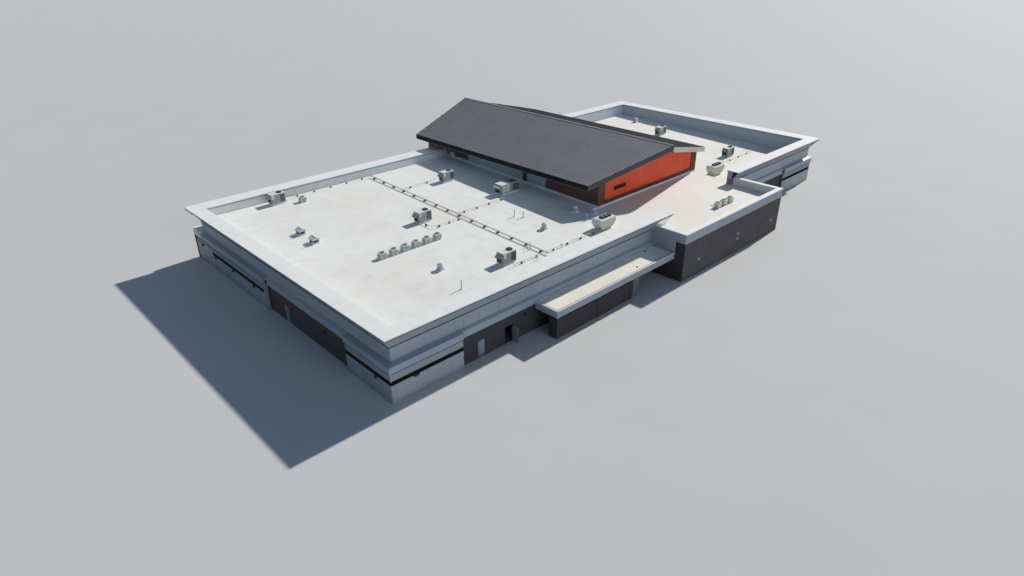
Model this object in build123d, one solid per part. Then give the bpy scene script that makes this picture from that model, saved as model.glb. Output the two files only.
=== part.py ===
from build123d import *
import os

os.makedirs("parts", exist_ok=True)

# Scale: one metre of the real building is 100 mm here (1:10)
m = 100.0

# Levels
z_floor = 0.15 * m
z_strip_low = 2.35 * m
z_strip_high = 2.80 * m
z_band_low = 3.80 * m
z_band_high = 4.67 * m
z_field_low = 4.90 * m
z_cornice_low = 6.58 * m
z_lip_low = 8.23 * m
z_soffit = 7.90 * m
z_top = 8.35 * m
z_block_fascia = 5.82 * m
z_block_top = 7.23 * m

# Plan of the main body, wing and service block
x_left = 0.0
x_right = 102.35 * m
y_service = 0.0
y_wing = 3.05 * m
y_front = 52.0 * m
y_front_field = 49.3 * m
x_block_left = 45.65 * m
x_block_right = 73.4 * m
y_block = -5.05 * m
x_parapet_end = 48.9 * m
x_wing_left = 72.4 * m

# Wall sections, measured inward from the outer plane of each side
masonry_recess = 0.40 * m
inner_face = 0.70 * m
strip_depth = 0.10 * m
band_out = 0.15 * m
band_recess = 0.19 * m
band_skin = 0.15 * m
field_recess = 0.55 * m
field_skin = 0.20 * m
parapet_inner = 1.40 * m
front_wall_thick = 0.40 * m
joint_gap = 0.01 * m

# Flared cornice and coping
coping_out = 0.60 * m
coping_out_right = 1.20 * m
cornice_out_front = 2.40 * m
coping_inner = 1.50 * m
drip_depth = 0.30 * m
sheet = 0.10 * m
flare_sheet = 0.20 * m

# Stretches of light siding at the corners
siding_left_near = 8.85 * m
siding_left_far = 28.35 * m
siding_service_near = 9.75 * m
siding_wing_from = 91.3 * m
siding_right_near = 12.0 * m
siding_right_far = 40.0 * m
strip_far_from = 29.0 * m
strip_far_to = 45.6 * m

# Service block
block_wall = 0.30 * m
block_parapet_width = 0.75 * m
flashing_out = 0.04 * m
flashing_high = 0.12 * m

# Roof planes, both falling towards the service side
roof_rise = 0.0208
z_roof_main = 5.90 * m
z_roof_wing = 5.00 * m
roof_thick = 0.35 * m
x_roof_step = 73.85 * m
step_thick = 0.20 * m

# Doorways and leaves
door_height = 2.20 * m
door_gap = 0.05 * m
leaf_thick = 0.05 * m
left_door_edge = 24.25 * m
left_door_width = 1.10 * m
service_door_edge = 12.20 * m
service_door_width = 1.10 * m
yard_door_edge = 17.70 * m
yard_door_width = 1.20 * m
yard_door_open = 88.0

# Door hinges
pin_offset = 0.045 * m
pin_radius = 0.015 * m
pin_length = 0.20 * m
knuckle_bore = 0.018 * m
knuckle_radius = 0.032 * m
knuckle_length = 0.10 * m
strap_thick = 0.012 * m
strap_length = 0.12 * m
strap_seat = 0.065 * m
leaf_setback = 0.005 * m
bracket_level = 0.08 * m
bracket_half = 0.02 * m
bracket_length = 0.07 * m
hinge_levels = (0.45 * m, 1.95 * m)

# Service canopy
x_canopy_left = 21.4 * m
y_canopy = -3.50 * m
z_canopy_low = 3.20 * m
z_canopy_top = 4.15 * m
z_canopy_deck_low = 3.85 * m
z_canopy_deck_high = 4.02 * m
canopy_edge = 0.30 * m

# Yard wall and gate panel under the canopy
yard_setback = 0.40 * m
yard_wall_thick = 0.30 * m
yard_wall_top = 2.70 * m
yard_pier_width = 0.60 * m
yard_pier_proud = 0.05 * m
yard_return = 1.00 * m
x_yard_wall_right = 36.8 * m
gate_width = 1.20 * m
gate_post = 0.10 * m

# Gable hall rising through the roof
gable_left = 47.1 * m
gable_right = 74.2 * m
gable_service = 11.9 * m
gable_front = 54.7 * m
gable_wall = 0.35 * m
gable_pier = 1.45 * m
base_band = 0.85 * m
panel_recess = 0.08 * m
wood_service_to = 23.1 * m
wood_front_from = 42.7 * m
y_gable_glass = 52.6 * m
glass_thick = 0.06 * m

# Gable roof
x_ridge = 60.65 * m
x_eave_left = 44.5 * m
x_eave_right = 76.8 * m
z_eave = 10.39 * m
z_ridge = 14.26 * m
ridge_drop = 0.35 * m
y_eave_service = 11.9 * m
y_ridge_service = 8.04 * m
y_eave_front = 54.9 * m
y_ridge_front = 59.3 * m
gable_deck = 0.30 * m
fascia_depth = 0.85 * m
fascia_width = 0.20 * m
ridge_beam = 0.25 * m
cap_width = 0.35 * m
cap_high = 0.08 * m
cap_over = 0.05 * m

# Front storey under the overhang
front_pier_width = 1.20 * m
front_pier_depth = 0.70 * m
front_rail_depth = 0.30 * m
front_bay = 6.0 * m
front_sill_top = 0.60 * m
front_head_low = 3.10 * m
bracket_spacing = 4.5 * m
bracket_spread = 1.4 * m
bracket_size = 0.16 * m
bracket_foot = 0.35 * m
bracket_head = 0.45 * m

# Air handling units: length, depth and height over the curb
curb_height = 0.25 * m
curb_inset = 0.15 * m
unit_size = (2.30 * m, 1.30 * m, 1.45 * m)
large_unit_size = (3.90 * m, 1.70 * m, 1.45 * m)
unit_hood_out = 0.45 * m
unit_fan_radius = 0.42 * m
unit_fan_high = 0.12 * m
unit_places = (
    (10.65 * m, y_front_field - 2.60 * m),
    (23.00 * m, 25.50 * m),
    (36.90 * m, 37.20 * m),
    (22.60 * m, 7.10 * m),
)
large_unit_place = (39.95 * m, 26.00 * m)
wing_unit_places = ((x_right - 13.85 * m, 13.50 * m), (x_right - 10.75 * m, 31.60 * m))

# Condensers on two rails each
condenser_size = (0.95 * m, 0.80 * m, 0.65 * m)
condenser_rail = 0.15 * m
condenser_fan_radius = 0.34 * m
condenser_fan_high = 0.06 * m
condenser_row = (12.20 * m, 19.30 * m)
condenser_pitch = 1.82 * m
condenser_count = 6
block_condenser_row = (60.90 * m, y_block + 4.15 * m)
block_condenser_count = 3
single_condenser = (14.60 * m, 44.90 * m)

# Kitchen units with a tapered foot and three fans
kitchen_size = (3.40 * m, 1.70 * m, 1.35 * m)
kitchen_taper = 0.50 * m
kitchen_fan_radius = 0.34 * m
kitchen_fan_high = 0.16 * m
kitchen_fan_first = 1.15 * m
kitchen_fan_pitch = 0.80 * m
kitchen_place = (40.30 * m, 5.70 * m)
wing_kitchen_place = (gable_right + 2.20 * m, 9.20 * m)

# Exhaust fans: hooded boxes and round fans on square curbs
hood_size = (0.90 * m, 1.00 * m, 0.55 * m)
hood_over = 0.10 * m
hood_eave = 0.20 * m
hood_ridge = 0.45 * m
hood_places = ((8.20 * m, 33.50 * m), (8.15 * m, 29.60 * m))
round_fan_curb = (0.70 * m, 0.35 * m)
round_fan_neck = (0.28 * m, 0.36 * m, 0.34 * m)
round_fan_cap = (0.48 * m, 0.30 * m, 0.24 * m)
round_fan_places = (
    (16.20 * m, 11.90 * m),
    (35.30 * m, 12.00 * m),
    (43.60 * m, 13.40 * m),
    (45.20 * m, 11.00 * m),
)
wing_fan_place = (x_right - 5.15 * m, 42.20 * m)

# Vent pipes: place and height
vent_radius = 0.07 * m
vents_at = (
    (14.75 * m, 6.10 * m, 1.30 * m),
    (35.30 * m, 18.30 * m, 1.20 * m),
    (36.10 * m, 17.20 * m, 1.00 * m),
    (42.30 * m, 10.00 * m, 1.00 * m),
)
wing_vent_at = (84.60 * m, 43.50 * m, 1.00 * m)

# Pipe runs on support blocks
pipe_radius = 0.045 * m
pipe_sides = 12
pipe_height = 0.30 * m
pipe_pair = 0.24 * m
pipe_x = 29.2 * m
pipe_y_low = 5.5 * m
pipe_y_high = 48.1 * m
branch_gap = 0.03 * m
left_branches = ((25.6 * m, 22.9 * m), (23.6 * m, 6.2 * m), (14.0 * m, 48.0 * m))
right_branches = ((39.7 * m, 24.6 * m), (40.6 * m, 6.1 * m), (36.4 * m, 39.0 * m))
wing_pipe_from = gable_right + 5.3 * m
wing_pipe_to = x_right - 7.35 * m
wing_pipe_y = 12.2 * m
support_size = 0.20 * m
support_spacing = 2.9 * m
pair_support_width = 0.50 * m

# The origin is moved to the middle of the ground footprint
x_middle = (x_left - coping_out + x_right + coping_out_right) / 2
y_middle = (y_block - flashing_out + y_ridge_front) / 2

# Planes that several pieces share
door_top = z_floor + door_height
x_block_in_left = x_block_left + block_wall
x_block_in_right = x_block_right - block_wall
y_ledge_inner = y_front_field - front_wall_thick
y_front_inner = y_front - front_pier_depth
y_canopy_wall = y_service + band_recess
x_gable_in_left = gable_left + gable_wall
x_gable_in_right = gable_right - gable_wall


def box(x0, x1, y0, y1, z0, z1):
    middle = Pos((x0 + x1) / 2, (y0 + y1) / 2, (z0 + z1) / 2)
    return middle * Box(abs(x1 - x0), abs(y1 - y0), abs(z1 - z0))


def prism(points, z0, z1):
    return extrude(Plane.XY.offset(z0) * make_face(Polyline(*points, close=True)), amount=z1 - z0)


def run_x(points, x0, x1):
    plane = Plane(origin=(x0, 0, 0), x_dir=(0, 1, 0), z_dir=(1, 0, 0))
    return extrude(plane * make_face(Polyline(*points, close=True)), amount=x1 - x0)


def run_y(points, y0, y1):
    plane = Plane(origin=(0, y1, 0), x_dir=(1, 0, 0), z_dir=(0, -1, 0))
    return extrude(plane * make_face(Polyline(*points, close=True)), amount=y1 - y0)


def inward(points, plane_at, sign):
    return [(plane_at + sign * n, z) for n, z in points]


def save(name, *solids):
    moved = [Pos(-x_middle, -y_middle, 0) * solid for solid in solids]
    shape = moved[0] if len(moved) == 1 else Compound(children=moved)
    export_step(shape, "parts/" + name + ".step")


# Levels of the two roof planes at a distance from the service side
def main_roof(y):
    return z_roof_main + roof_rise * y


def wing_roof(y):
    return z_roof_wing + roof_rise * y


# Height of the gable roof's upper face above a point of its width
roof_pitch = (z_ridge - z_eave) / (x_ridge - x_eave_left)


def gable_top(x):
    if x <= x_ridge:
        return z_eave + roof_pitch * (x - x_eave_left)
    return z_eave - ridge_drop + roof_pitch * (x_eave_right - x)


# Floor
inner_plan = [
    (inner_face, inner_face),
    (x_block_in_left, inner_face),
    (x_block_in_left, y_block + block_wall),
    (x_block_in_right, y_block + block_wall),
    (x_block_in_right, y_wing + inner_face),
    (x_right - inner_face, y_wing + inner_face),
    (x_right - inner_face, y_front_inner),
    (gable_right, y_front_inner),
    (gable_right, gable_front),
    (gable_left, gable_front),
    (gable_left, y_front_inner),
    (inner_face, y_front_inner),
]
floor = prism(inner_plan, 0, z_floor)
floor -= box(gable_left, gable_left + gable_pier, y_front_inner, gable_front, 0, z_floor)
floor -= box(gable_right - gable_pier, gable_right, y_front_inner, gable_front, 0, z_floor)
save("floor_slab", floor)

# Light siding at the corners with its dark recessed strip
corner = box(x_left, siding_service_near, y_service, inner_face, 0, z_band_low)
corner += box(x_left, inner_face, inner_face, siding_left_near, 0, z_band_low)
corner -= box(x_left, siding_service_near, y_service, strip_depth, z_strip_low, z_strip_high)
corner -= box(x_left, strip_depth, y_service, siding_left_near, z_strip_low, z_strip_high)
far_left = box(x_left, inner_face, siding_left_far, y_front_inner, 0, z_band_low)
far_left -= box(x_left, strip_depth, strip_far_from, strip_far_to, z_strip_low, z_strip_high)
save("main_siding", corner, far_left)

wing_corner = box(siding_wing_from, x_right, y_wing, y_wing + inner_face, 0, z_band_low)
wing_corner += box(x_right - inner_face, x_right, y_wing, siding_right_near, 0, z_band_low)
wing_corner -= box(siding_wing_from, x_right, y_wing, y_wing + strip_depth, z_strip_low, z_strip_high)
wing_corner -= box(x_right - strip_depth, x_right, y_wing, siding_right_near, z_strip_low, z_strip_high)
far_right = box(x_right - inner_face, x_right, siding_right_far, y_front_inner, 0, z_band_low)
far_right -= box(x_right - strip_depth, x_right, siding_right_far, y_front_inner, z_strip_low, z_strip_high)
save("wing_siding", wing_corner, far_right)


# Dark masonry of the lower storey, split at the doorways
def masonry_left(y0, y1, z0, z1):
    return box(x_left + masonry_recess, x_left + inner_face, y0, y1, z0, z1)


def masonry_service(x0, x1, z0, z1):
    return box(x0, x1, y_service + masonry_recess, y_service + inner_face, z0, z1)


left_door_low = left_door_edge - left_door_width
service_door_right = service_door_edge + service_door_width
yard_door_left = yard_door_edge - yard_door_width
save("main_masonry", masonry_left(siding_left_near, left_door_low, 0, z_band_low),
     masonry_left(left_door_edge, siding_left_far, 0, z_band_low),
     masonry_service(siding_service_near, service_door_edge, 0, z_band_low),
     masonry_service(service_door_right, yard_door_left, 0, z_band_low),
     masonry_service(yard_door_edge, x_block_left, 0, z_band_low))
save("door_lintels", masonry_left(left_door_low, left_door_edge, door_top, z_band_low),
     masonry_service(service_door_edge, service_door_right, door_top, z_band_low),
     masonry_service(yard_door_left, yard_door_edge, door_top, z_band_low))
wing_side = box(x_block_right, siding_wing_from, y_wing + masonry_recess, y_wing + inner_face, 0, z_band_low)
right_side = box(x_right - inner_face, x_right - masonry_recess, siding_right_near, siding_right_far, 0,
                 z_band_low)
save("wing_masonry", wing_side, right_side)


# Door leaf drawn about its own pin, closed, opening away from the building
def door_leaf(width):
    face = pin_offset + leaf_setback
    leaf = box(door_gap, width - door_gap, face, face + leaf_thick, z_floor + door_gap, door_top - door_gap)
    for level in hinge_levels:
        middle = z_floor + level
        low = middle - knuckle_length / 2
        high = middle + knuckle_length / 2
        leaf += Pos(0, 0, middle) * Cylinder(knuckle_radius, knuckle_length)
        leaf += box(0, strap_length, -strap_thick, strap_thick, low, high)
        leaf += box(strap_seat, strap_length, -strap_thick, face, low, high)
        leaf -= Pos(0, 0, middle) * Cylinder(knuckle_bore, 2 * knuckle_length)
    return leaf


# Fixed pins, each held by a small bracket above and below its knuckle
def door_pins():
    pins = []
    for level in hinge_levels:
        middle = z_floor + level
        pin = Pos(0, 0, middle) * Cylinder(pin_radius, pin_length)
        for at in (middle - bracket_level, middle + bracket_level):
            low = at - bracket_half
            high = at + bracket_half
            pin += box(-bracket_length, pin_radius, -bracket_half, pin_offset, low, high)
        pins.append(pin)
    return pins


left_place = Pos(x_left + masonry_recess - pin_offset, left_door_edge, 0) * Rot(0, 0, -90)
service_place = Pos(service_door_edge, y_service + masonry_recess - pin_offset, 0)
yard_place = Pos(yard_door_edge, y_service + masonry_recess - pin_offset, 0)
save("left_door", left_place * door_leaf(left_door_width))
save("service_door", service_place * door_leaf(service_door_width))
save("yard_door", yard_place * Rot(0, 0, yard_door_open) * mirror(door_leaf(yard_door_width), Plane.YZ))
all_pins = [left_place * pin for pin in door_pins()]
all_pins += [service_place * pin for pin in door_pins()]
all_pins += [yard_place * mirror(pin, Plane.YZ) for pin in door_pins()]
save("door_hinges", *all_pins)


# Light band with a sloped ledge, standing out over the siding and set back over the masonry
def band_profile(face):
    skin = band_skin
    outer = [(face, z_band_low), (face, z_band_high), (field_recess, z_field_low),
             (parapet_inner, z_field_low)]
    inner = [(parapet_inner, z_field_low - skin), (field_recess, z_field_low - skin),
             (face + skin, z_band_high - skin), (face + skin, z_band_low + skin),
             (inner_face, z_band_low + skin), (inner_face, z_band_low)]
    return outer + inner


def band(run, plane_at, sign, stretches):
    step_end = [(-band_out, z_band_low), (-band_out, z_band_high), (field_recess, z_field_low),
                (field_recess, z_band_low)]
    pieces = [run(inward(band_profile(face), plane_at, sign), low, high) for low, high, face in stretches]
    for low, high, face in stretches[:-1]:
        plate = (high - band_skin, high) if face == -band_out else (high, high + band_skin)
        pieces.append(run(inward(step_end, plane_at, sign), *plate))
    solid = pieces[0]
    for piece in pieces[1:]:
        solid += piece
    return solid


x_edge_left = x_left - band_out
x_edge_right = x_right + band_out
y_edge_service = y_service - band_out
y_edge_wing = y_wing - band_out
main_corner = (x_left + parapet_inner, y_service + parapet_inner)
wing_corner_in = (x_right - parapet_inner, y_wing + parapet_inner)
band_service_plan = [(x_edge_left, y_edge_service), (x_block_left, y_edge_service),
                     (x_block_left, main_corner[1]), main_corner]
band_left_plan = [(x_edge_left, y_edge_service), main_corner, (main_corner[0], y_ledge_inner),
                  (x_edge_left, y_ledge_inner)]
band_wing_plan = [(x_block_right, y_edge_wing), (x_edge_right, y_edge_wing), wing_corner_in,
                  (x_block_right, wing_corner_in[1])]
band_right_plan = [(x_edge_right, y_edge_wing), (x_edge_right, y_ledge_inner),
                   (wing_corner_in[0], y_ledge_inner), wing_corner_in]
band_service = band(run_x, y_service, 1, [(x_edge_left, siding_service_near, -band_out),
                                          (siding_service_near, x_block_left, band_recess)])
band_left = band(run_y, x_left, 1, [(y_edge_service, siding_left_near, -band_out),
                                    (siding_left_near, siding_left_far, band_recess),
                                    (siding_left_far, y_ledge_inner, -band_out)])
band_wing = band(run_x, y_wing, 1, [(x_block_right, siding_wing_from, band_recess),
                                    (siding_wing_from, x_edge_right, -band_out)])
band_right = band(run_y, x_right, -1, [(y_edge_wing, siding_right_near, -band_out),
                                       (siding_right_near, siding_right_far, band_recess),
                                       (siding_right_far, y_ledge_inner, -band_out)])
save("band_service_side", band_service & prism(band_service_plan, z_band_low, z_field_low),
     band_wing & prism(band_wing_plan, z_band_low, z_field_low))
save("band_ends", band_left & prism(band_left_plan, z_band_low, z_field_low),
     band_right & prism(band_right_plan, z_band_low, z_field_low))

# Roof decks
x_deck_left = x_left + parapet_inner
x_deck_right = x_right - parapet_inner
y_deck_service = y_service + parapet_inner
y_deck_wing = y_wing + parapet_inner


def deck(level, x0, x1, y0, y1):
    points = [(y0, level(y0) - roof_thick), (y1, level(y1) - roof_thick), (y1, level(y1)), (y0, level(y0))]
    return run_x(points, x0, x1)


def under(level, x0, x1, y0, y1):
    return run_x([(y0, 0), (y1, 0), (y1, level(y1)), (y0, level(y0))], x0, x1)


below_main = under(main_roof, x_left - m, x_roof_step, y_block - m, y_front_field)
below_wing = under(wing_roof, x_roof_step, x_right, y_block - m, y_front_field)
main_deck = deck(main_roof, x_deck_left, gable_left, y_deck_service, y_ledge_inner)
block_deck = deck(main_roof, gable_left, x_roof_step - step_thick, y_block + block_wall, gable_service)
block_deck += deck(main_roof, x_block_in_left, gable_left, y_block + block_wall, y_deck_service)
block_deck -= box(x_block_in_right, x_right, y_block, y_deck_wing, 0, z_top)
step_face = box(x_roof_step - step_thick, x_roof_step, y_deck_wing, gable_service, wing_roof(0), z_top)
block_deck += step_face & below_main
wing_deck = deck(wing_roof, gable_right, x_deck_right, y_deck_wing, y_ledge_inner)
wing_deck += deck(wing_roof, x_roof_step, gable_right, y_deck_wing, gable_service)
save("roof_deck_main", main_deck)
save("roof_deck_service", block_deck)
save("roof_deck_wing", wing_deck)


# Upper walls: two skins with an open core, closed on top by the coping
def field_profile():
    outer = field_recess + field_skin
    inner = parapet_inner - field_skin
    high = z_top - sheet
    low = z_field_low + field_skin
    return [(field_recess, z_field_low), (field_recess, high), (outer, high), (outer, low), (inner, low),
            (inner, high), (parapet_inner, high), (parapet_inner, z_field_low)]


def field_end(x0, x1, y0):
    return box(x0, x1, y0 + field_recess, y0 + parapet_inner, z_field_low, z_top - sheet)


main_field_corner = (x_left + field_recess, y_service + field_recess)
wing_field_corner = (x_right - field_recess, y_wing + field_recess)
field_service_plan = [main_field_corner, (x_parapet_end, main_field_corner[1]),
                      (x_parapet_end, main_corner[1]), main_corner]
field_left_plan = [main_field_corner, main_corner, (main_corner[0], y_front_field),
                   (main_field_corner[0], y_front_field)]
field_wing_plan = [(x_wing_left, wing_field_corner[1]), wing_field_corner, wing_corner_in,
                   (x_wing_left, wing_corner_in[1])]
field_right_plan = [wing_field_corner, (wing_field_corner[0], y_front_field),
                    (wing_corner_in[0], y_front_field), wing_corner_in]
field_service = run_x(inward(field_profile(), y_service, 1), x_left, x_parapet_end)
field_service = field_service & prism(field_service_plan, z_field_low, z_top)
field_service += field_end(x_parapet_end - field_skin, x_parapet_end, y_service)
field_service -= below_main & box(x_block_left, x_parapet_end, y_service, y_deck_service, 0, z_top)
field_wing = run_x(inward(field_profile(), y_wing, 1), x_wing_left, x_right)
field_wing = field_wing & prism(field_wing_plan, z_field_low, z_top)
field_wing += field_end(x_wing_left, x_wing_left + field_skin, y_wing)
field_wing -= below_main & box(x_wing_left, x_roof_step, y_wing, y_deck_wing, 0, z_top)
field_left = run_y(inward(field_profile(), x_left, 1), y_service, y_front_field)
field_left = field_left & prism(field_left_plan, z_field_low, z_top)
field_right = run_y(inward(field_profile(), x_right, -1), y_wing, y_front_field)
field_right = field_right & prism(field_right_plan, z_field_low, z_top)
save("upper_walls_service_side", field_service, field_wing)
save("upper_walls_ends", field_left, field_right)
field_front_left = box(x_deck_left, gable_left, y_ledge_inner, y_front_field, z_field_low, z_top - sheet)
field_front_right = box(gable_right, x_deck_right, y_ledge_inner, y_front_field, z_field_low, z_top - sheet)
save("upper_walls_front", field_front_left, field_front_right)


# Cornice: a flared face from the wall up to the lip, with the coping on top
flare_rise = z_lip_low - z_cornice_low


def cornice_profile(out):
    meet = field_recess - (field_recess + out) * (z_top - sheet - flare_sheet - z_cornice_low) / flare_rise
    drip = z_top - drip_depth
    return [(field_recess, z_cornice_low), (-out, z_lip_low), (-out, z_top), (coping_inner, z_top),
            (coping_inner, drip), (parapet_inner, drip), (parapet_inner, z_top - sheet),
            (meet, z_top - sheet), (field_recess, z_cornice_low + flare_sheet)]


# The flared space itself, for cutting what runs up against it
def cornice_space(plane_at, x0, x1):
    points = [(field_recess, z_cornice_low), (-coping_out, z_lip_low), (-coping_out, z_top),
              (field_recess, z_top)]
    return run_x(inward(points, plane_at, 1), x0, x1)


def cornice_end(plane_at, out, sign):
    points = [(field_recess, z_cornice_low), (-out, z_lip_low), (-out, z_top), (field_recess, z_top)]
    return run_y(inward(points, plane_at, sign), y_ledge_inner - sheet, y_ledge_inner)


x_lip_left = x_left - coping_out
x_lip_right = x_right + coping_out_right
y_lip_service = y_service - coping_out
y_lip_wing = y_wing - coping_out
main_coping_in = (x_left + coping_inner, y_service + coping_inner)
wing_coping_in = (x_right - coping_inner, y_wing + coping_inner)
cornice_service_plan = [(x_lip_left, y_lip_service), (x_parapet_end, y_lip_service),
                        (x_parapet_end, main_coping_in[1]), main_coping_in]
cornice_left_plan = [(x_lip_left, y_lip_service), main_coping_in, (main_coping_in[0], y_ledge_inner),
                     (x_lip_left, y_ledge_inner)]
cornice_wing_plan = [(x_wing_left, y_lip_wing), (x_lip_right, y_lip_wing), wing_field_corner, wing_coping_in,
                     (x_wing_left, wing_coping_in[1])]
cornice_right_plan = [(x_lip_right, y_lip_wing), (x_lip_right, y_ledge_inner),
                      (wing_coping_in[0], y_ledge_inner), wing_coping_in, wing_field_corner]
cornice_main = run_x(inward(cornice_profile(coping_out), y_service, 1), x_lip_left, x_parapet_end)
cornice_wing = run_x(inward(cornice_profile(coping_out), y_wing, 1), x_wing_left, x_lip_right)
cornice_left = run_y(inward(cornice_profile(coping_out), x_left, 1), y_lip_service, y_ledge_inner)
cornice_left += cornice_end(x_left, coping_out, 1)
cornice_right = run_y(inward(cornice_profile(coping_out_right), x_right, -1), y_lip_wing, y_ledge_inner)
cornice_right += cornice_end(x_right, coping_out_right, -1)
save("cornice_service_side", cornice_main & prism(cornice_service_plan, z_cornice_low, z_top),
     cornice_wing & prism(cornice_wing_plan, z_cornice_low, z_top))
save("coping_ends", cornice_left & prism(cornice_left_plan, z_cornice_low, z_top),
     cornice_right & prism(cornice_right_plan, z_cornice_low, z_top))


# Deep flat overhang along the customer front
def front_cornice(x0, x1, x_end, field_end_at):
    y_out = y_front_field + cornice_out_front
    x_end_in = x_end + sheet if x_end < field_end_at else x_end - sheet
    solid = box(x0, x1, y_ledge_inner, y_out, z_top - sheet, z_top)
    solid += box(x0, x1, y_out - sheet, y_out, z_soffit, z_top)
    solid += box(x0, x1, y_front_field, y_out, z_soffit, z_soffit + sheet)
    solid += box(x_end, x_end_in, y_ledge_inner, y_out, z_soffit, z_top)
    solid += box(x_end, field_end_at, y_ledge_inner, y_front_field, z_soffit, z_soffit + sheet)
    return solid


front_over_left = front_cornice(x_lip_left, gable_left, x_lip_left, x_left + field_recess)
front_over_right = front_cornice(gable_right, x_lip_right, x_lip_right, x_right - field_recess)
save("cornice_front", front_over_left, front_over_right)

# Service block: masonry below, light parapet above
y_wing_field = y_wing + field_recess - joint_gap
front_masonry = box(x_block_left, x_block_right, y_block, y_block + block_wall, 0, z_block_fascia)
left_masonry = box(x_block_left, x_block_in_left, y_block + block_wall, y_canopy, 0, z_block_fascia)
left_masonry += box(x_block_left, x_block_in_left, y_canopy, y_service + inner_face, 0, z_canopy_deck_high)
right_masonry = box(x_block_in_right, x_block_right, y_block + block_wall, y_wing_field, 0, z_block_fascia)
masonry = front_masonry + left_masonry + right_masonry
save("block_masonry", masonry)


def block_parapet_profile():
    width = block_parapet_width
    proud = -flashing_out
    return [(0, z_block_fascia + flashing_high), (0, z_block_top - flashing_high),
            (proud, z_block_top - flashing_high), (proud, z_block_top), (width, z_block_top),
            (width, z_field_low), (width - band_skin, z_field_low), (width - band_skin, z_block_top - sheet),
            (block_wall, z_block_top - sheet), (block_wall, z_block_fascia), (proud, z_block_fascia),
            (proud, z_block_fascia + flashing_high)]


x_flash_left = x_block_left - flashing_out
x_flash_right = x_block_right + flashing_out
y_flash = y_block - flashing_out
y_parapet_in = y_block + block_parapet_width
parapet_front_plan = [(x_flash_left, y_flash), (x_flash_right, y_flash),
                      (x_block_right - block_parapet_width, y_parapet_in),
                      (x_block_left + block_parapet_width, y_parapet_in)]
parapet = run_x(inward(block_parapet_profile(), y_block, 1), x_flash_left, x_flash_right)
parapet = parapet & prism(parapet_front_plan, z_field_low, z_block_top)
parapet_left_plan = [(x_flash_left, y_flash), (x_block_left + block_parapet_width, y_parapet_in),
                     (x_block_left + block_parapet_width, y_service + field_recess),
                     (x_flash_left, y_service + field_recess)]
parapet_left = run_y(inward(block_parapet_profile(), x_block_left, 1), y_flash, y_service + field_recess)
parapet += parapet_left & prism(parapet_left_plan, z_field_low, z_block_top)
parapet_right_plan = [(x_flash_right, y_flash), (x_flash_right, y_wing_field),
                      (x_block_right - block_parapet_width, y_wing_field),
                      (x_block_right - block_parapet_width, y_parapet_in)]
parapet_right = run_y(inward(block_parapet_profile(), x_block_right, -1), y_flash, y_wing_field)
parapet += parapet_right & prism(parapet_right_plan, z_field_low, z_block_top)
parapet -= under(main_roof, x_block_in_left, x_block_in_right, y_block + block_wall, y_wing_field)
parapet -= cornice_space(y_service, x_left, x_parapet_end)
parapet -= cornice_space(y_wing, x_wing_left, x_right)
parapet += box(x_block_left, x_block_in_left, y_canopy, y_service + field_recess, z_canopy_deck_high,
               z_block_fascia)
save("block_parapet", parapet)

# Service canopy: a thin deck inside a deep hollow edge
x_canopy_in = x_canopy_left + canopy_edge
y_canopy_in = y_canopy + canopy_edge
canopy = box(x_canopy_in, x_block_left, y_canopy_in, y_canopy_wall, z_canopy_deck_low, z_canopy_deck_high)
canopy += box(x_canopy_left, x_block_left, y_canopy, y_canopy_in, z_canopy_low, z_canopy_top)
canopy += box(x_canopy_left, x_canopy_in, y_canopy_in, y_canopy_wall, z_canopy_low, z_canopy_top)
canopy -= box(x_canopy_left + sheet, x_block_left, y_canopy + sheet, y_canopy_in - sheet, z_canopy_low,
              z_canopy_top - sheet)
save("service_canopy", canopy)

# Yard wall and its piers, up to the canopy
yard_y0 = y_canopy + yard_setback
yard_y1 = yard_y0 + yard_wall_thick
yard_x0 = x_canopy_left + yard_setback
pier_xs = [yard_x0, (yard_x0 + x_yard_wall_right) / 2, x_yard_wall_right - yard_pier_width]
yard_wall = box(yard_x0, x_yard_wall_right, yard_y0, yard_y1, 0, yard_wall_top)
yard_wall += box(yard_x0, yard_x0 + yard_wall_thick, yard_y1, yard_y1 + yard_return, 0, yard_wall_top)
for x in pier_xs:
    yard_wall += box(x, x + yard_pier_width, yard_y0 - yard_pier_proud, yard_y1 + yard_pier_proud, 0,
                     z_canopy_deck_low)
save("yard_wall", yard_wall)

# Narrow gate panel that closes the yard beside the wall, on one post
gate_x0 = x_yard_wall_right + door_gap
post_x = gate_x0 + gate_width
gate = box(gate_x0, post_x, yard_y0 + door_gap, yard_y0 + door_gap + leaf_thick, door_gap, yard_wall_top)
gate += box(post_x - gate_post / 2, post_x + gate_post / 2, yard_y0, yard_y1, 0, z_canopy_deck_low)
save("yard_gate_panel", gate)


# Front storey: ledge roof, piers, rails and glass
def ledge_profile():
    depth = y_front - y_ledge_inner
    roof_low = z_field_low - 2 * band_skin
    return [(0, z_band_low), (0, z_field_low), (depth, z_field_low), (depth, roof_low),
            (band_skin, roof_low), (band_skin, z_band_low)]


ledge_left = run_x(inward(ledge_profile(), y_front, -1), x_left, gable_left)
ledge_left += box(x_left, x_left + band_skin, y_ledge_inner, y_front, z_band_low, z_field_low)
ledge_right = run_x(inward(ledge_profile(), y_front, -1), gable_right, x_right)
ledge_right += box(x_right - band_skin, x_right, y_ledge_inner, y_front, z_band_low, z_field_low)
save("front_ledge_roof", ledge_left, ledge_right)

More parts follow.
